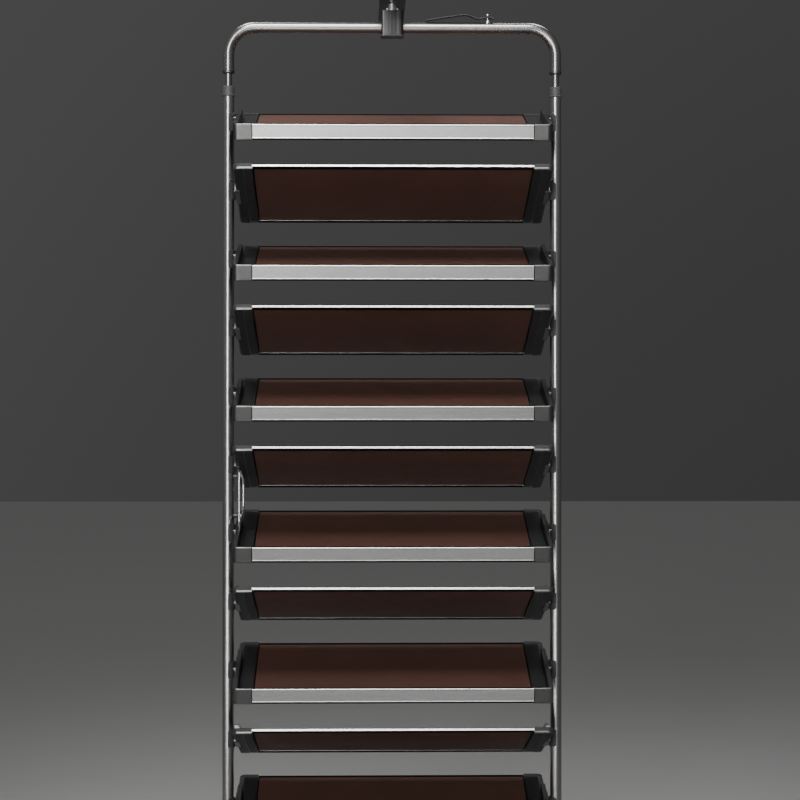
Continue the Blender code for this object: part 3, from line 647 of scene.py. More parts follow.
def saddle_mesh(side):
    """A half shell on the inner side of a tube, drilled for the pin, with round corners in front."""
    inward = math.pi if side > 0 else 0.0
    angles = [inward + SADDLE_ARC * (step / SADDLE_STEPS - 0.5) for step in range(SADDLE_STEPS + 1)]
    outline = [on_circle(SADDLE_OUTER, angle) for angle in angles]
    outline += [on_circle(SADDLE_SEAT, angle) for angle in reversed(angles)]
    half = SADDLE_HEIGHT / 2
    shell = slab(outline, FLAT, -half, half)
    open_edge = -side * SADDLE_OUTER * math.cos(SADDLE_ARC / 2)
    far = -side * 2 * SADDLE_OUTER
    radii = [0, SADDLE_CORNER, SADDLE_CORNER, 0]
    window = block((far, -half), (open_edge, half), radii, ALONG, -2 * SADDLE_OUTER, 2 * SADDLE_OUTER)
    to_side = Matrix.Rotation(-side * math.pi / 2, 4, "Y")
    hole = moved(rod(PIN_HOLE, 0, 2 * SADDLE_OUTER, 32), to_side)
    return carved(shell, keep=[window], cut=[hole], edge=SADDLE_EDGE, edge_steps=3)


for word, side in SIDES.items():
    saddle = saddle_mesh(side)
    for tray in tray_names:
        place = on_upright(side, joint_places[tray + "_tilt"].z)
        put(f"{tray}_{word}_bracket", saddle, BRACKET_PLASTIC, "rack", place)
    print(word, "bracket faces:", len(saddle.polygons))

# %% [markdown]
# ## Bent tubes and the telescopic joint
# The top and bottom of the frame are tubes bent to a wide U. A curve with rounded corners and
# a round bevel follows the bend exactly. At the top, a narrow tube slides into each upright
# through a grey collar, and a dark ring closes the wide tube above it.

# %% Make the top tube
BEND_RADIUS = 60 * MM
BEND_STEPS = 20
END_RING_HEIGHT = 7 * MM
END_RING_RADIUS = 13.2 * MM
END_RING_TAPER = 1.2 * MM
END_RING_TAPER_HEIGHT = 2.2 * MM
SPIGOT_RADIUS = 8 * MM
COLLAR_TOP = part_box("left_collar")[1].z
ARCH_LEG_END = COLLAR_TOP + 28 * MM
SPIGOT_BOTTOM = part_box("top_arch")[0].z


def bent_tube(height, leg_end):
    corners = [
        (-UPRIGHT_X, 0, leg_end),
        (-UPRIGHT_X, 0, height),
        (UPRIGHT_X, 0, height),
        (UPRIGHT_X, 0, leg_end),
    ]
    path = rounded(corners, [0, BEND_RADIUS, BEND_RADIUS, 0], BEND_STEPS, closed=False)
    return wire(path, TUBE_RADIUS, resolution=14)


top_tube = bent_tube(TOP_ARCH_Z, ARCH_LEG_END + END_RING_HEIGHT / 2)
put("top_bent_tube", top_tube, SHADED_ARCH_STEEL, "top_arch", stands_for=["top_arch"])

ring_corners = [
    (SPIGOT_RADIUS, 0),
    (END_RING_RADIUS - END_RING_TAPER, 0),
    (END_RING_RADIUS, END_RING_TAPER_HEIGHT),
    (END_RING_RADIUS, END_RING_HEIGHT),
    (SPIGOT_RADIUS, END_RING_HEIGHT),
]
end_ring = turned(rounded(ring_corners, mm(0, 0.8, 1.0, 0.5, 0), 4), 64, ring=True)
spigot_top = ARCH_LEG_END + END_RING_HEIGHT
spigot = open_tube(SPIGOT_RADIUS, SPIGOT_RADIUS - TUBE_WALL, SPIGOT_BOTTOM, spigot_top)
for word, side in SIDES.items():
    ring_place = on_upright(side, ARCH_LEG_END)
    put(f"{word}_arch_ring", end_ring, GUNMETAL, "top_arch", ring_place)
    put(f"{word}_inner_tube", spigot, INNER_STEEL, "top_arch", on_upright(side))
print("inner tubes reach down to", round(SPIGOT_BOTTOM, 4))

# %% Make the collars
COLLAR_BOTTOM = UPRIGHT_TOP + 0.3 * MM
COLLAR_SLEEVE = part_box("left_collar")[0].z
COLLAR_BORE = 8.3 * MM
COLLAR_RADIUS = 13.0 * MM
COLLAR_FOOT_RADIUS = 14.0 * MM
COLLAR_FOOT_TOP = COLLAR_BOTTOM + 4.0 * MM
PLUG_RADIUS = TUBE_BORE - 0.3 * MM

collar_corners = stepped(
    COLLAR_BORE,
    COLLAR_TOP,
    (COLLAR_RADIUS, COLLAR_FOOT_TOP),
    (COLLAR_FOOT_RADIUS, COLLAR_BOTTOM),
    (PLUG_RADIUS, COLLAR_SLEEVE),
)
collar = turned(rounded(collar_corners, mm(0, 1.5, 0.3, 0.8, 0.8, 0, 0, 0), 4), 64, ring=True)
for word, side in SIDES.items():
    place = on_upright(side)
    put(f"{word}_guide_collar", collar, GREY_PLASTIC, "rack", place, [f"{word}_collar"])
print("collar faces:", len(collar.polygons))

# %% [markdown]
# ## The foot of the rack
# The rack spins on a round floor plate. A thrust bearing carries a hub that is welded to the
# bottom tube. All of it is turned work, so one profile each is enough. The bearing shows its
# two washers with a ring of balls between them.

# %% Make the floor plate
BASE_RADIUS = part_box("base_plate")[1].x
BASE_THICKNESS = 6 * MM
SPINDLE_RADIUS = 10 * MM
SPINDLE_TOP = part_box("base_plate")[1].z
SPINDLE_CHAMFER = 1 * MM
SCREW_CIRCLE = 68 * MM
SCREW_COUNT = 4
SCREW_RADIUS = 4.6 * MM
SCREW_DEPTH = 2.6 * MM
SCREW_RIM = 0.25 * MM
SCREW_PROUD = 0.3 * MM
RECESS_DEPTH = 1.2 * MM


def screw_head():
    """A countersunk head with a cross recess, its top at zero."""
    profile = [
        (0, 0),
        (SCREW_RADIUS * 0.96, 0),
        (SCREW_RADIUS, -SCREW_RIM),
        (SCREW_RADIUS * 0.5, -SCREW_DEPTH),
        (0, -SCREW_DEPTH),
    ]
    reach = SCREW_RADIUS * 0.55
    width = SCREW_RADIUS * 0.13
    arms = []
    for turn in (0.0, math.pi / 2):
        bar = box_mesh((-reach, -width, -RECESS_DEPTH), (reach, width, 1 * MM))
        arms.append(moved(bar, Matrix.Rotation(turn, 4, "Z")))
    return carved(turned(profile, 32), cut=arms)


plate_corners = stepped(0, BASE_THICKNESS, (BASE_RADIUS, 0))
plate = turned(rounded(plate_corners, mm(0, 2.0, 0.5, 0), 5), 96)
put("floor_plate", plate, FLOOR_PLATE_COAT, "base", stands_for=["base_plate"])
spindle_corners = stepped(0, SPINDLE_TOP, (SPINDLE_RADIUS, BASE_THICKNESS - 1 * MM))
spindle = turned(rounded(spindle_corners, [0, SPINDLE_CHAMFER, 0, 0], steps=1))
put("spindle", spindle, BEARING_STEEL, "base")
head = screw_head()
for index in range(SCREW_COUNT):
    x, y = on_circle(SCREW_CIRCLE, math.tau * (index + 0.5) / SCREW_COUNT)
    place = Matrix.Translation((x, y, BASE_THICKNESS + SCREW_PROUD))
    put(f"floor_screw_{index + 1}", head, BEARING_STEEL, "base", place)
print("floor plate radius:", round(BASE_RADIUS, 4))

# %% Make the thrust bearing
BEARING_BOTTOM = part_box("thrust_bearing")[0].z
BEARING_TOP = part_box("thrust_bearing")[1].z
BEARING_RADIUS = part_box("thrust_bearing")[1].x
BEARING_BORE = 10.3 * MM
WASHER_HEIGHT = 3.0 * MM
WASHER_EDGE = 0.3 * MM
BALL_COUNT = 14
BALL_CIRCLE = (BEARING_BORE + BEARING_RADIUS) / 2
BALL_HEIGHT = (BEARING_BOTTOM + BEARING_TOP) / 2
BALL_RADIUS = (BEARING_TOP - BEARING_BOTTOM) / 2 - WASHER_HEIGHT + 0.2 * MM


def washer(bottom, top):
    corners = stepped(BEARING_BORE, top, (BEARING_RADIUS, bottom))
    return turned(rounded(corners, [WASHER_EDGE] * 4, 3), 64, ring=True)


def balls():
    """The ring of balls between the washers."""
    work = bmesh.new()
    for index in range(BALL_COUNT):
        x, y = on_circle(BALL_CIRCLE, math.tau * index / BALL_COUNT)
        spot = Matrix.Translation((x, y, BALL_HEIGHT))
        bmesh.ops.create_uvsphere(work, u_segments=20, v_segments=12, radius=BALL_RADIUS, matrix=spot)
    return mesh_from(work)


lower_washer = washer(BEARING_BOTTOM, BEARING_BOTTOM + WASHER_HEIGHT)
upper_washer = washer(BEARING_TOP - WASHER_HEIGHT, BEARING_TOP)
washers = joined(lower_washer, upper_washer)
put("bearing_washers", washers, BEARING_STEEL, "base", stands_for=["thrust_bearing"])
put("bearing_balls", balls(), POLISHED, "base")
print("bearing balls:", BALL_COUNT)

# %% Make the bottom tube and its hub
BOTTOM_LEG_TOP = UPRIGHT_BOTTOM - 0.3 * MM
HUB_RADIUS = 24 * MM
HUB_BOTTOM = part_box("bottom_arch")[0].z
HUB_TOP = HUB_BOTTOM + 57 * MM
HUB_BORE = SPINDLE_RADIUS + 0.4 * MM
HUB_BORE_TOP = SPINDLE_TOP + 0.3 * MM
PLUG_BOTTOM = BOTTOM_LEG_TOP - TUBE_RADIUS
PLUG_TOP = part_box("bottom_arch")[1].z

bottom_tube = bent_tube(BOTTOM_ARCH_Z, BOTTOM_LEG_TOP)
put("bottom_bent_tube", bottom_tube, TUBE_STEEL, "rack", stands_for=["bottom_arch"])
hub_corners = [
    (HUB_BORE, HUB_BOTTOM),
    (HUB_RADIUS, HUB_BOTTOM),
    (HUB_RADIUS, HUB_TOP),
    (0, HUB_TOP),
    (0, HUB_BORE_TOP),
    (HUB_BORE, HUB_BORE_TOP),
]
hub = turned(rounded(hub_corners, mm(0, 1.5, 2.0, 0, 0, 0), 5), 64, ring=True)
put("hub", hub, TUBE_STEEL, "rack")
for word, side in SIDES.items():
    plug = open_tube(PLUG_RADIUS, PLUG_RADIUS - TUBE_WALL, PLUG_BOTTOM, PLUG_TOP, 48)
    put(f"{word}_bottom_plug", plug, INNER_STEEL, "rack", on_upright(side))
print("hub stands", round((HUB_TOP - HUB_BOTTOM) / MM, 1), "mm tall")

# %% [markdown]
# ## The top pivot
# A block is clamped round the middle of the top tube, and a pin with a shoulder ring drops into
# it from a plate on the ceiling. The block has a flat front that turns softly into its sides. A
# superellipse draws that: its power says how square it is. The block stands on a thin grey
# foot. Two small screws show on its top, and a set screw is in its back.

# %% Make the coupling
COUPLING_LOW, COUPLING_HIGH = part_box("top_coupling")
COUPLING_TOP = COUPLING_HIGH.z
SQUARENESS = 9.0
PLAN_STEPS = 96
BLOCK_EDGE = 0.5 * MM
FOOT_TOP = COUPLING_LOW.z + 3.0 * MM
FOOT_PROUD = 0.9 * MM
FOOT_EDGE = 0.3 * MM
SOCKET_RADIUS = 6.4 * MM
SOCKET_DEPTH = 18.3 * MM
ARCH_BORE = TUBE_RADIUS + 0.1 * MM


def block_plan(grow):
    """The outline of the block from above, grown all round by a small amount."""
    points = []
    for step in range(PLAN_STEPS):
        across, along = on_circle(1.0, math.tau * step / PLAN_STEPS)
        x = math.copysign(abs(across) ** (2 / SQUARENESS), across) * (COUPLING_HIGH.x + grow)
        y = math.copysign(abs(along) ** (2 / SQUARENESS), along) * (COUPLING_HIGH.y + grow)
        points.append((x, y))
    return points


def arch_bore():
    """A bar through the block in the place of the top tube."""
    turn = Matrix.Translation((0, 0, TOP_ARCH_Z)) @ Matrix.Rotation(math.pi / 2, 4, "Y")
    return moved(rod(ARCH_BORE, 2 * COUPLING_LOW.x, 2 * COUPLING_HIGH.x, 64), turn)


socket = rod(SOCKET_RADIUS, COUPLING_TOP - SOCKET_DEPTH, COUPLING_TOP + SOCKET_DEPTH)
coupling = slab(block_plan(0), FLAT, FOOT_TOP, COUPLING_TOP)
coupling = carved(coupling, cut=[arch_bore(), socket], edge=BLOCK_EDGE)
put("pivot_coupling", coupling, BLOCK_STEEL, "top_arch", stands_for=["top_coupling"])
foot = carved(slab(block_plan(FOOT_PROUD), FLAT, COUPLING_LOW.z, FOOT_TOP), edge=FOOT_EDGE)
put("coupling_foot", foot, GREY_PLASTIC, "top_arch")
print("coupling faces:", len(coupling.polygons))

# %% Make the coupling's screws
CLAMP_SCREW_X = 11 * MM
CLAMP_SCREW_Y = -12 * MM
CLAMP_SCREW_RADIUS = 2.3 * MM
CLAMP_SCREW_HEIGHT = 4.4 * MM
CLAMP_SCREW_EDGE = 0.4 * MM
SET_SCREW_RADIUS = 3.0 * MM
SET_SCREW_LENGTH = 3.0 * MM
SET_SCREW_PROUD = 0.4 * MM
SET_SCREW_EDGE = 0.3 * MM
SET_SCREW_HEIGHT = TOP_ARCH_Z + 24 * MM
KEY_RADIUS = 1.5 * MM
KEY_DEPTH = 1.5 * MM
KEY_SIDES = 6

clamp_screw = carved(rod(CLAMP_SCREW_RADIUS, -1 * MM, CLAMP_SCREW_HEIGHT, 32), edge=CLAMP_SCREW_EDGE)
for word, side in SIDES.items():
    place = Matrix.Translation((side * CLAMP_SCREW_X, CLAMP_SCREW_Y, COUPLING_TOP))
    put(f"{word}_clamp_screw", clamp_screw, TOP_PIN_STEEL, "top_arch", place)

key_outline = [on_circle(KEY_RADIUS, index * math.tau / KEY_SIDES) for index in range(KEY_SIDES)]
key_hole = slab(key_outline, FLAT, -KEY_DEPTH, 2 * MM)
set_screw = rod(SET_SCREW_RADIUS, -SET_SCREW_LENGTH, SET_SCREW_PROUD, 32)
set_screw = carved(set_screw, cut=[key_hole], edge=SET_SCREW_EDGE)
at_back = Matrix.Translation((0, COUPLING_HIGH.y, SET_SCREW_HEIGHT))
facing_back = at_back @ Matrix.Rotation(-math.pi / 2, 4, "X")
put("coupling_set_screw", set_screw, POLISHED, "top_arch", facing_back)
print("clamp screws stand", round(2 * CLAMP_SCREW_X / MM), "mm apart")

# %% Make the ceiling plate and its pin
PLATE_LOW, PLATE_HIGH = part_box("top_mount")
PLATE_BOTTOM = PLATE_HIGH.z - 4 * MM
PLATE_CORNER = 4 * MM
PLATE_EDGE = 0.6 * MM
NECK_RADIUS = 9 * MM
NECK_TOP = PLATE_BOTTOM + 2 * MM
SHOULDER_RADIUS = 12.5 * MM
SHOULDER_BOTTOM = COUPLING_TOP + 0.3 * MM
SHOULDER_TOP = COUPLING_TOP + 3.3 * MM
SHAFT_RADIUS = 6 * MM
CEILING_SCREW_X = 18 * MM
CEILING_SCREW_Y = PLATE_HIGH.y - 20 * MM

top_plate = block(PLATE_LOW, PLATE_HIGH, [PLATE_CORNER] * 4, FLAT, PLATE_BOTTOM, PLATE_HIGH.z)
top_plate = carved(top_plate, edge=PLATE_EDGE)
put("ceiling_plate", top_plate, CEILING_COAT, "ceiling_mount", stands_for=["top_mount"])
pin_corners = stepped(
    0,
    NECK_TOP,
    (NECK_RADIUS, SHOULDER_TOP),
    (SHOULDER_RADIUS, SHOULDER_BOTTOM),
    (SHAFT_RADIUS, PLATE_LOW.z),
)
pivot_pin = turned(rounded(pin_corners, mm(0, 0, 1, 0.8, 0.8, 0, 0.8, 0), 4), 64)
put("pivot_pin", pivot_pin, TOP_PIN_STEEL, "ceiling_mount")
ceiling_head = screw_head()
face_down = Matrix.Rotation(math.pi, 4, "X")
screw_height = PLATE_BOTTOM - SCREW_PROUD
screw_spots = rectangle((-CEILING_SCREW_X, -CEILING_SCREW_Y), (CEILING_SCREW_X, CEILING_SCREW_Y))
for index, (x, y) in enumerate(screw_spots):
    place = Matrix.Translation((x, y, screw_height)) @ face_down
    put(f"ceiling_screw_{index + 1}", ceiling_head, BEARING_STEEL, "ceiling_mount", place)
print("ceiling plate is", round((PLATE_HIGH.y - PLATE_LOW.y) / MM), "mm long")

# %% [markdown]
# ## The locating spring
# A strip of spring steel sits on the top tube. One end is held by a stud with a round knob, and
# the other lies free near the coupling. The strip is one smooth line with a thickness and a
# width. A Catmull-Rom curve through six places gives the line its soft bends.

# %% Make the spring
SPRING_WIDTH = 16 * MM
SPRING_THICKNESS = 1.2 * MM
SPRING_EDGE = 0.2 * MM
SPRING_STEPS = 14
TUBE_TOP = TOP_ARCH_Z + TUBE_RADIUS
STUD_X = 210.4 * MM
FREE_END = Vector((74.6 * MM, TUBE_TOP + 3.5 * MM))
RISE = Vector((118 * MM, TUBE_TOP + 10.2 * MM))
HUMP = Vector((161.3 * MM, TUBE_TOP + 15.6 * MM))
DIP = Vector((187 * MM, TUBE_TOP + 7.8 * MM))
OVER_STUD = Vector((STUD_X, TUBE_TOP + 10.6 * MM))
HELD_END = Vector((223.4 * MM, TUBE_TOP + 7.6 * MM))


def smooth_line(places, steps):
    """A Catmull-Rom line through the places."""
    ends = [places[0] * 2 - places[1], *places, places[-1] * 2 - places[-2]]
    line = []
    for before, start, end, after in zip(ends, ends[1:], ends[2:], ends[3:]):
        bend = 2 * before - 5 * start + 4 * end - after
        twist = 3 * start - before - 3 * end + after
        for step in range(steps):
            t = step / steps
            line.append(0.5 * (2 * start + (end - before) * t + bend * t * t + twist * t * t * t))
    return [*line, places[-1]]


spring_line = smooth_line([FREE_END, RISE, HUMP, DIP, OVER_STUD, HELD_END], SPRING_STEPS)
lift = Vector((0, SPRING_THICKNESS))
spring_outline = spring_line + [point + lift for point in reversed(spring_line)]
leaf = carved(slab(spring_outline, ALONG, -SPRING_WIDTH / 2, SPRING_WIDTH / 2), edge=SPRING_EDGE)
put("spring_leaf", leaf, SPRING_STEEL, "top_arch", stands_for=["locating_spring"])
print("spring line points:", len(spring_line))

# %% Make the spring's stud
KNOB_RADIUS = 3.7 * MM
KNOB_TOP = 18.8 * MM
KNOB_BOTTOM = 13 * MM
KNOB_ROUND = 2.7 * MM
STEM_RADIUS = 2.2 * MM
SEAT_RADIUS = 7.5 * MM
SEAT_TOP = 5.8 * MM
SEAT_BOTTOM = -2.5 * MM
SEAT_ROUND = 5.0 * MM

stud_corners = stepped(
    0, KNOB_TOP, (KNOB_RADIUS, KNOB_BOTTOM), (STEM_RADIUS, SEAT_TOP), (SEAT_RADIUS, SEAT_BOTTOM)
)
stud_radii = [0, KNOB_ROUND, KNOB_ROUND, 0, 0, SEAT_ROUND, 0.5 * MM, 0]
stud = turned(rounded(stud_corners, stud_radii, 7), 40)
put("spring_stud", stud, POLISHED, "top_arch", Matrix.Translation((STUD_X, 0, TUBE_TOP)))
print("stud faces:", len(stud.polygons))

# %% [markdown]
# ## The wire handle
# A closed loop of polished wire stands beside the left upright, so that a hand can turn the
# rack. It is tall in front and short behind. Two short stubs hold it, each in a dark bush on
# the tube.

# %% Make the handle
WIRE_RADIUS = 2.5 * MM
HANDLE_LOW, HANDLE_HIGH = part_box("handle_loop")
HANDLE_X = -UPRIGHT_X + 30 * MM
HANDLE_MIDDLE = (HANDLE_LOW.z + HANDLE_HIGH.z) / 2
HANDLE_FRONT = HANDLE_LOW.y + WIRE_RADIUS
HANDLE_REAR = HANDLE_HIGH.y - WIRE_RADIUS
FRONT_HALF = 64 * MM
REAR_HALF = 32 * MM
HANDLE_BEND = 12 * MM

loop_corners = [
    (HANDLE_X, HANDLE_FRONT, HANDLE_MIDDLE + FRONT_HALF),
    (HANDLE_X, HANDLE_REAR, HANDLE_MIDDLE + REAR_HALF),
    (HANDLE_X, HANDLE_REAR, HANDLE_MIDDLE - REAR_HALF),
    (HANDLE_X, HANDLE_FRONT, HANDLE_MIDDLE - FRONT_HALF),
]
loop = wire(rounded(loop_corners, [HANDLE_BEND] * 4, 10), WIRE_RADIUS, resolution=6, cyclic=True)
put("handle_wire", loop, POLISHED, "rack", stands_for=["handle_loop"])
print("handle is", round((HANDLE_HIGH.z - HANDLE_LOW.z) / MM), "mm tall")

# %% Make the handle's stubs
TUBE_INNER_X = -UPRIGHT_X + TUBE_RADIUS
STUB_RADIUS = 2.4 * MM
STUB_LENGTH = HANDLE_X - TUBE_INNER_X
BUSH_LENGTH = 9 * MM
BUSH_SINK = -0.9 * MM
BUSH_TIP_RADIUS = 4.4 * MM
BUSH_FOOT_RADIUS = 5.6 * MM

# The stubs leave the tube at y = 0, and the loop's half height there lies between its two ends
share = -HANDLE_FRONT / (HANDLE_REAR - HANDLE_FRONT)
stub_reach = FRONT_HALF + (REAR_HALF - FRONT_HALF) * share
toward_tube = Matrix.Rotation(math.pi / 2, 4, "Y")
bush_corners = [
    (STUB_RADIUS, BUSH_LENGTH),
    (BUSH_TIP_RADIUS, BUSH_LENGTH),
    (BUSH_FOOT_RADIUS, BUSH_SINK),
    (STUB_RADIUS, BUSH_SINK),
]
for word, lift in (("upper", stub_reach), ("lower", -stub_reach)):
    start = Matrix.Translation((TUBE_INNER_X, 0, HANDLE_MIDDLE + lift)) @ toward_tube
    stub = rod(STUB_RADIUS, -0.5 * MM, STUB_LENGTH, 24)
    put(f"handle_{word}_stub", stub, POLISHED, "rack", start)
    bush = turned(rounded(bush_corners, mm(0, 0.8, 0.6, 0), 4), 40, ring=True)
    put(f"handle_{word}_bush", bush, GUNMETAL, "rack", start)
print("stubs are", round(STUB_LENGTH / MM, 1), "mm long")

# %% [markdown]
# ## One tray
# A tray has a brown board, an aluminium lip along its low edge, a thin aluminium rail on its
# high edge, and a moulded cap at each end. Thin black seals line the two edges and fill the
# seams at the caps; they paint the dark shade lines of the gaps there. Each is drawn once in the
# tray's own frame and then used twelve times, because Blender lets many objects share one mesh.
# The lip has a bead along its top and bottom, so its face lies a little deeper between them. The
# rail is a channel that is pushed over the high edge of the board.

# %% Make the board and its rails
BOARD_HALF = 300 * MM
BOARD_TOP = -3 * MM
BOARD_BOTTOM = -8 * MM
BOARD_EDGE = 0.3 * MM
LIP_FACE = -150 * MM
LIP_WALL = 2.5 * MM
LIP_BOTTOM = -9.8 * MM
LIP_TOP = 21.2 * MM
LIP_FOOT = LIP_FACE + 6 * MM
LIP_FOOT_TOP = LIP_BOTTOM + 1.5 * MM
LIP_HEAD = LIP_FACE + 4 * MM
LIP_RECESS = LIP_FACE + 0.45 * MM
RAIL_BACK = 150 * MM
RAIL_FRONT = RAIL_BACK - 7 * MM
RAIL_WEB = RAIL_BACK - 1.1 * MM
RAIL_TOP = BOARD_TOP + 0.8 * MM
RAIL_BOTTOM = BOARD_BOTTOM + 0.8 * MM
RAIL_ROOF = BOARD_TOP + 0.05 * MM
RAIL_FLOOR = RAIL_BOTTOM + 0.4 * MM


def strip(near, far, bottom, top):
    """A bar along the whole tray with a square section."""
    outline = rectangle((near, bottom), (far, top))
    return carved(slab(outline, ACROSS, -BOARD_HALF, BOARD_HALF), edge=BOARD_EDGE)


board = strip(LIP_FACE + LIP_WALL + 0.2 * MM, RAIL_BACK - 1.2 * MM, BOARD_BOTTOM, BOARD_TOP)
lip_corners = [
    (LIP_FACE, LIP_BOTTOM),
    (LIP_FOOT, LIP_BOTTOM),
    (LIP_FOOT, LIP_FOOT_TOP),
    (LIP_FACE + LIP_WALL, LIP_FOOT_TOP),
    (LIP_FACE + LIP_WALL, LIP_TOP - 4.5 * MM),
    (LIP_HEAD, LIP_TOP - 3 * MM),
    (LIP_HEAD, LIP_TOP),
    (LIP_FACE, LIP_TOP),
    (LIP_FACE, LIP_TOP - 3.6 * MM),
    (LIP_RECESS, LIP_TOP - 4.2 * MM),
    (LIP_RECESS, LIP_BOTTOM + 2.4 * MM),
    (LIP_FACE, LIP_BOTTOM + 1.8 * MM),
]
lip_radii = mm(0.8, 0.4, 0.4, 0, 0, 0.5, 1.2, 2.0, 0.3, 0.2, 0.2, 0.3)
lip = slab(rounded(lip_corners, lip_radii, 5), ACROSS, -BOARD_HALF, BOARD_HALF)
rail_corners = [
    (RAIL_FRONT, RAIL_BOTTOM),
    (RAIL_BACK, RAIL_BOTTOM),
    (RAIL_BACK, RAIL_TOP),
    (RAIL_FRONT, RAIL_TOP),
    (RAIL_FRONT, RAIL_ROOF),
    (RAIL_WEB, RAIL_ROOF),
    (RAIL_WEB, RAIL_FLOOR),
    (RAIL_FRONT, RAIL_FLOOR),
]
rail_radii = mm(0.1, 0.4, 1.6, 0.3, 0, 0, 0, 0)
rail = slab(rounded(rail_corners, rail_radii, 6), ACROSS, -BOARD_HALF, BOARD_HALF)
print("lip faces:", len(lip.polygons), "rail faces:", len(rail.polygons))

# %% Make the seals that paint the shade lines
SEAM_PROUD = 0.2 * MM
SEAM_END = 141 * MM

# Black strips on and under the lip and the rail paint the shade lines along those edges
on_lip = strip(LIP_FACE + 1.7 * MM, LIP_FACE + 4.3 * MM, LIP_TOP - 0.4 * MM, LIP_TOP + 1.1 * MM)
under_lip = strip(LIP_FACE + 0.6 * MM, LIP_FACE + 2.4 * MM, LIP_BOTTOM - 3.0 * MM, LIP_BOTTOM)
under_rail = strip(RAIL_BACK - 9 * MM, RAIL_BACK - 0.5 * MM, BOARD_BOTTOM - 2.4 * MM, RAIL_BOTTOM)
on_rail = strip(RAIL_BACK - 8.5 * MM, RAIL_BACK - 2 * MM, BOARD_TOP + 0.02 * MM, BOARD_TOP + 1.3 * MM)
shade_seals = [on_lip, under_lip, under_rail, on_rail]

# Thin black strips at the ends paint the shade in the seams between the caps and the board, and beside the
# lip
for side in SIDES.values():
    low_x, high_x = sorted([side * (BOARD_HALF - 2.2 * MM), side * (BOARD_HALF + 0.3 * MM)])
    for height in (BOARD_TOP, BOARD_BOTTOM):
        low = (low_x, -SEAM_END, height - SEAM_PROUD)
        high = (high_x, SEAM_END, height + SEAM_PROUD)
        shade_seals.append(box_mesh(low, high))
    low_x, high_x = sorted([side * (BOARD_HALF - 0.1 * MM), side * (BOARD_HALF + 1.6 * MM)])
    low = (low_x, LIP_FACE - 1.25 * MM, LIP_BOTTOM)
    high = (high_x, LIP_FACE + 1.5 * MM, LIP_TOP + 0.6 * MM)
    shade_seals.append(box_mesh(low, high))
shade_seals = joined(*shade_seals)
print("seal faces:", len(shade_seals.polygons))

# %% [markdown]
# ## The end cap
# The end cap is the fullest shape on the rack. Seen from the side it is a long bar with a rim
# over its front two thirds; seen from above it is a strip with round outer corners; seen from
# the front its outer top edge is round. Where outlines from three sides describe a form, it is
# quickest to make each as a slab and keep what they share. A pocket is then cut out of its top,
# a shallow band out of its front, and the housing of the pin is added on its outer side.

# %% Draw the cap from three sides
CAP_INNER_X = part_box("tray_01_right_cap")[0].x
CAP_OUTER_X = CAP_INNER_X + 41.5 * MM
CAP_FRONT = -151.2 * MM
CAP_BACK = 151.2 * MM
CAP_BOTTOM = -13.5 * MM
CAP_FLOOR = -1.5 * MM
CAP_REAR_TOP = CAP_FLOOR + 1 * MM
CAP_TOP = 22.4 * MM
RIM_END = CAP_FRONT + 217 * MM
RIM_END_TOP = CAP_FLOOR + 22.4 * MM
RIM_ROUND = 4.5 * MM
CORNER_RADIUS = 12 * MM
MARGIN = 5 * MM


def cap_side():
    """The cap seen from its outer side."""
    corners = [
        (CAP_FRONT, CAP_BOTTOM),
        (CAP_BACK, CAP_BOTTOM),
        (CAP_BACK, CAP_REAR_TOP),
        (RIM_END, CAP_REAR_TOP),
        (RIM_END, RIM_END_TOP),
        (CAP_FRONT, CAP_TOP),
    ]
    return slab(rounded(corners, mm(2.4, 3, 3, 3, 6, 2.2)), ACROSS, CAP_INNER_X, CAP_OUTER_X)


def cap_plan():
    """The cap seen from above."""
    start, end = (CAP_INNER_X, CAP_FRONT), (CAP_OUTER_X, CAP_BACK)
    radii = [0, CORNER_RADIUS, CORNER_RADIUS, 0]
    return block(start, end, radii, FLAT, CAP_BOTTOM - MARGIN, CAP_TOP + MARGIN, steps=12)


def cap_section():
    """The cap seen from the front, with a round outer top edge."""
    start, end = (CAP_INNER_X, CAP_BOTTOM), (CAP_OUTER_X, CAP_TOP)
    radii = [0, 2.5 * MM, RIM_ROUND, 0]
    return block(start, end, radii, ALONG, CAP_FRONT - MARGIN, CAP_BACK + MARGIN, steps=8)


print("cap is", round((CAP_BACK - CAP_FRONT) / MM, 1), "mm deep")

# %% Draw what is cut out and added
FRONT_WALL = 4 * MM
RIM_INNER_X = CAP_OUTER_X - 10 * MM
POCKET_CORNER = 5 * MM
BAND_DEPTH = 0.5 * MM
BAND_END = CAP_FRONT + 30 * MM
BAND_BOTTOM = CAP_BOTTOM + 3.4 * MM
BAND_TOP = CAP_TOP - 4.6 * MM
STEP_X = 318.5 * MM
STEP_TOP = CAP_BOTTOM + 1.3 * MM
STEP_INSET = 7 * MM
HOUSING_REACH = 38.5 * MM
HOUSING_TOP = 16 * MM
HOUSING_BOTTOM = CAP_BOTTOM - 2.5 * MM
HOUSING_CORNER = 5 * MM
HOUSING_INNER_X = CAP_OUTER_X - 8 * MM
HOUSING_OUTER_X = UPRIGHT_X - SADDLE_OUTER - 0.4 * MM


def cap_pocket():
    """The hollow between the front wall and the rim."""
    start, end = (CAP_INNER_X - MARGIN, CAP_FRONT + FRONT_WALL), (RIM_INNER_X, CAP_BACK + MARGIN)
    return block(start, end, [0, POCKET_CORNER, 0, 0], FLAT, CAP_FLOOR, CAP_TOP + MARGIN, steps=8)


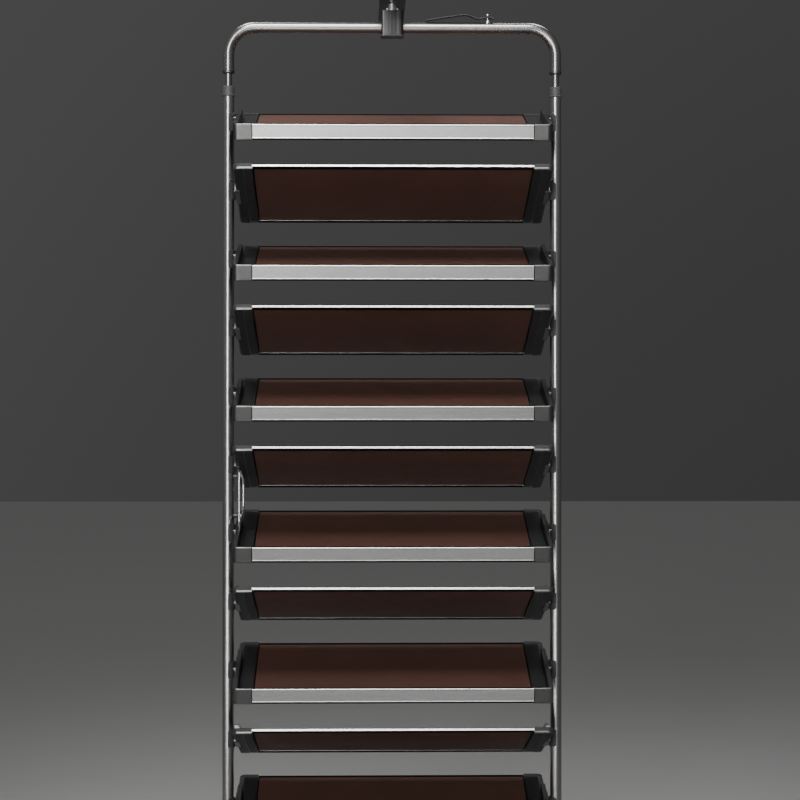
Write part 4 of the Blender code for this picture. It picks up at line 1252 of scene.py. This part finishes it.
def cap_band():
    """The shallow band round the front, between a bead at the top and one at the bottom."""
    inner_corners = [
        (CAP_INNER_X - MARGIN, CAP_FRONT + BAND_DEPTH),
        (CAP_OUTER_X - BAND_DEPTH, CAP_FRONT + BAND_DEPTH),
        (CAP_OUTER_X - BAND_DEPTH, BAND_END),
    ]
    inner_line = rounded(inner_corners, [0, CORNER_RADIUS - BAND_DEPTH, 0], 12, closed=False)
    outer_line = [
        (CAP_OUTER_X + MARGIN, BAND_END),
        (CAP_OUTER_X + MARGIN, CAP_FRONT - MARGIN),
        (CAP_INNER_X - MARGIN, CAP_FRONT - MARGIN),
    ]
    return slab([*inner_line, *outer_line], FLAT, BAND_BOTTOM, BAND_TOP)


def cap_housing():
    """The thick place on the rim that holds the pin."""
    start, end = (-HOUSING_REACH, HOUSING_BOTTOM), (HOUSING_REACH, HOUSING_TOP)
    return block(start, end, [HOUSING_CORNER] * 4, ACROSS, HOUSING_INNER_X, HOUSING_OUTER_X)


def cap_step():
    """The shallow step on the underside, beside the board."""
    low = (CAP_INNER_X - MARGIN, CAP_FRONT + STEP_INSET, CAP_BOTTOM - MARGIN)
    high = (STEP_X, CAP_BACK - STEP_INSET, STEP_TOP)
    return box_mesh(low, high)


print("housing ends at x =", round(HOUSING_OUTER_X, 4))

# %% Carve the cap
CAP_EDGE = 0.6 * MM
MIRROR = Matrix.Diagonal((-1.0, 1.0, 1.0, 1.0))


def mirrored(mesh):
    """A copy for the tray's other end."""
    return moved(mesh.copy(), MIRROR)


plus_cap = carved(
    cap_side(),
    keep=[cap_plan(), cap_section()],
    add=[cap_housing()],
    cut=[cap_pocket(), cap_band(), cap_step()],
    edge=CAP_EDGE,
)
minus_cap = mirrored(plus_cap)
print("cap faces:", len(plus_cap.polygons))

# %% [markdown]
# ## Fittings of the cap
# Three small steel pieces sit on the outer side of each cap. The pin turns in the bracket, and
# two short pegs stop the tray at the ends of its tilt. They are turned, with round ends, and
# laid on their sides. A small moulded rib sits under the cap's outer edge, a plate wraps its
# high end, and thin black covers on its underside and its floor paint the shade that falls there.

# %% Make the cap's trim and the covers that paint its shade
RIB_PLACE = -76 * MM
RIB_HALF = 1.3 * MM
RIB_EDGE = 0.4 * MM
END_PLATE_FRONT = CAP_BACK - 14 * MM
END_PLATE_BACK = CAP_BACK + 0.3 * MM
END_PLATE_BOTTOM = -8.6 * MM
END_PLATE_TOP = CAP_FLOOR + 1.2 * MM
END_PLATE_EDGE = 0.7 * MM
COVER_INSET = 2.6 * MM
COVER_PROUD = 0.2 * MM
COVER_SINK = 1 * MM
SEAM_X = CAP_INNER_X + 0.4 * MM


def trim_mesh():
    """A short rib under the cap's outer edge, and a plate round its high end."""
    low = (CAP_OUTER_X - 8 * MM, RIB_PLACE - RIB_HALF, CAP_BOTTOM - 1.4 * MM)
    high = (CAP_OUTER_X - 2.6 * MM, RIB_PLACE + RIB_HALF, CAP_BOTTOM + 0.5 * MM)
    rib = carved(box_mesh(low, high), edge=RIB_EDGE)
    start, end = (SEAM_X, END_PLATE_FRONT), (CAP_OUTER_X + 0.2 * MM, END_PLATE_BACK)
    radii = [0, 0, CORNER_RADIUS, 0]
    plate = block(start, end, radii, FLAT, END_PLATE_BOTTOM, END_PLATE_TOP, steps=12)
    return joined(rib, carved(plate, edge=END_PLATE_EDGE, edge_steps=3))


def cap_shade_covers():
    """Thin black plates that paint the shade on a cap: two on its underside, on either side of the step,
    one on its floor.
    """
    far = CAP_BACK - COVER_INSET
    start, end = (STEP_X + 1 * MM, CAP_FRONT + COVER_INSET), (CAP_OUTER_X - COVER_INSET, far)
    radii = [0, CORNER_RADIUS - COVER_INSET, CORNER_RADIUS - COVER_INSET, 0]
    outer = block(start, end, radii, FLAT, CAP_BOTTOM - COVER_PROUD, CAP_BOTTOM + COVER_SINK)
    low = (SEAM_X, CAP_FRONT + STEP_INSET + 0.5 * MM, STEP_TOP - COVER_PROUD)
    high = (STEP_X - 0.4 * MM, CAP_BACK - STEP_INSET - 0.5 * MM, STEP_TOP + COVER_SINK)
    inner = box_mesh(low, high)
    low = (SEAM_X, CAP_FRONT + FRONT_WALL + 0.6 * MM, CAP_FLOOR - COVER_SINK)
    high = (RIM_INNER_X - 0.6 * MM, far, CAP_FLOOR + COVER_PROUD)
    return joined(outer, inner, box_mesh(low, high))


plus_shade_covers = cap_shade_covers()
shade_covers = joined(plus_shade_covers, mirrored(plus_shade_covers))
plus_trim = trim_mesh()
minus_trim = mirrored(plus_trim)
print("trim faces:", len(plus_trim.polygons), "cover faces:", len(shade_covers.polygons))

# %% Make the cap's pins
PIN_RADIUS = 4 * MM
PIN_TIP = UPRIGHT_X - TUBE_RADIUS + 0.5 * MM
PEG_RADIUS = 2.3 * MM
PEG_TIP = 346.8 * MM
FRONT_PEG = Vector((0, -33 * MM, 16.5 * MM))
REAR_PEG = Vector((0, 19 * MM, -8.5 * MM))


def peg_mesh(radius, start, tip):
    """A turned peg along X, round at its tip."""
    profile = rounded(stepped(0, tip, (radius, start)), [0, 0.4 * radius, 0, 0], 5)
    return moved(turned(profile, 32), Matrix.Rotation(math.pi / 2, 4, "Y"))


def pins_mesh():
    """The pivot pin and the two stop pegs of a cap."""
    pieces = [peg_mesh(PIN_RADIUS, RIM_INNER_X + 2 * MM, PIN_TIP)]
    for place in (FRONT_PEG, REAR_PEG):
        peg = peg_mesh(PEG_RADIUS, CAP_OUTER_X - 2 * MM, PEG_TIP)
        pieces.append(moved(peg, Matrix.Translation(place)))
    return joined(*pieces)


plus_pins = pins_mesh()
minus_pins = mirrored(plus_pins)
print("pin faces:", len(plus_pins.polygons))

# %% [markdown]
# ## Twelve trays
# Each tray rides on its own body, so that it tilts on its pins. The even trays are turned half
# round: their +X end is then on the left as seen from the front, and the loop swaps the caps.

# %% Hang the trays
for tray in tray_names:
    place = tray_frame(tray)
    put(f"{tray}_board", board, LACQUER, tray, place, [f"{tray}_panel"])
    put(f"{tray}_lip", lip, ALUMINIUM, tray, place, [f"{tray}_lip_rail"])
    put(f"{tray}_high_rail", rail, ALUMINIUM, tray, place)
    put(f"{tray}_edge_shade_seals", shade_seals, SEAL_SHADE_RUBBER, tray, place)
    put(f"{tray}_cap_shade_covers", shade_covers, SHADE_COVER_PLASTIC, tray, place)
    plus_word, minus_word = ("left", "right") if faces_rear(tray) else ("right", "left")
    for word, cap, trim, pins in (
        (plus_word, plus_cap, plus_trim, plus_pins),
        (minus_word, minus_cap, minus_trim, minus_pins),
    ):
        put(f"{tray}_{word}_end_cap", cap, GUNMETAL, tray, place, [f"{tray}_{word}_cap"])
        put(f"{tray}_{word}_cap_trim", trim, BRACKET_PLASTIC, tray, place)
        put(f"{tray}_{word}_pins", pins, TRAY_PIN_STEEL, tray, place)
print("trays hung:", len(tray_names))

# %% [markdown]
# ## The floor
# A plain pale floor carries the rack. A faint, slow noise in its roughness keeps it from looking
# like paper.

# %% Lay the floor
FLOOR_HALF = 24.0
FLOOR_BOTTOM = -0.05
FLOOR_TOP = -0.0002

floor_mesh = box_mesh((-FLOOR_HALF, -FLOOR_HALF, FLOOR_BOTTOM), (FLOOR_HALF, FLOOR_HALF, FLOOR_TOP))
floor_finish = base_finish("pale_floor", (0.48, 0.475, 0.47), 0.65, Specular_IOR_Level=0.2)
vary_roughness(floor_finish, 0.58, 0.72, per_metre=2.0, detail=4.0)
floor_mesh.materials.append(floor_finish)
floor = bpy.data.objects.new("floor", floor_mesh)
bpy.context.scene.collection.objects.link(floor)
print("floor laid")
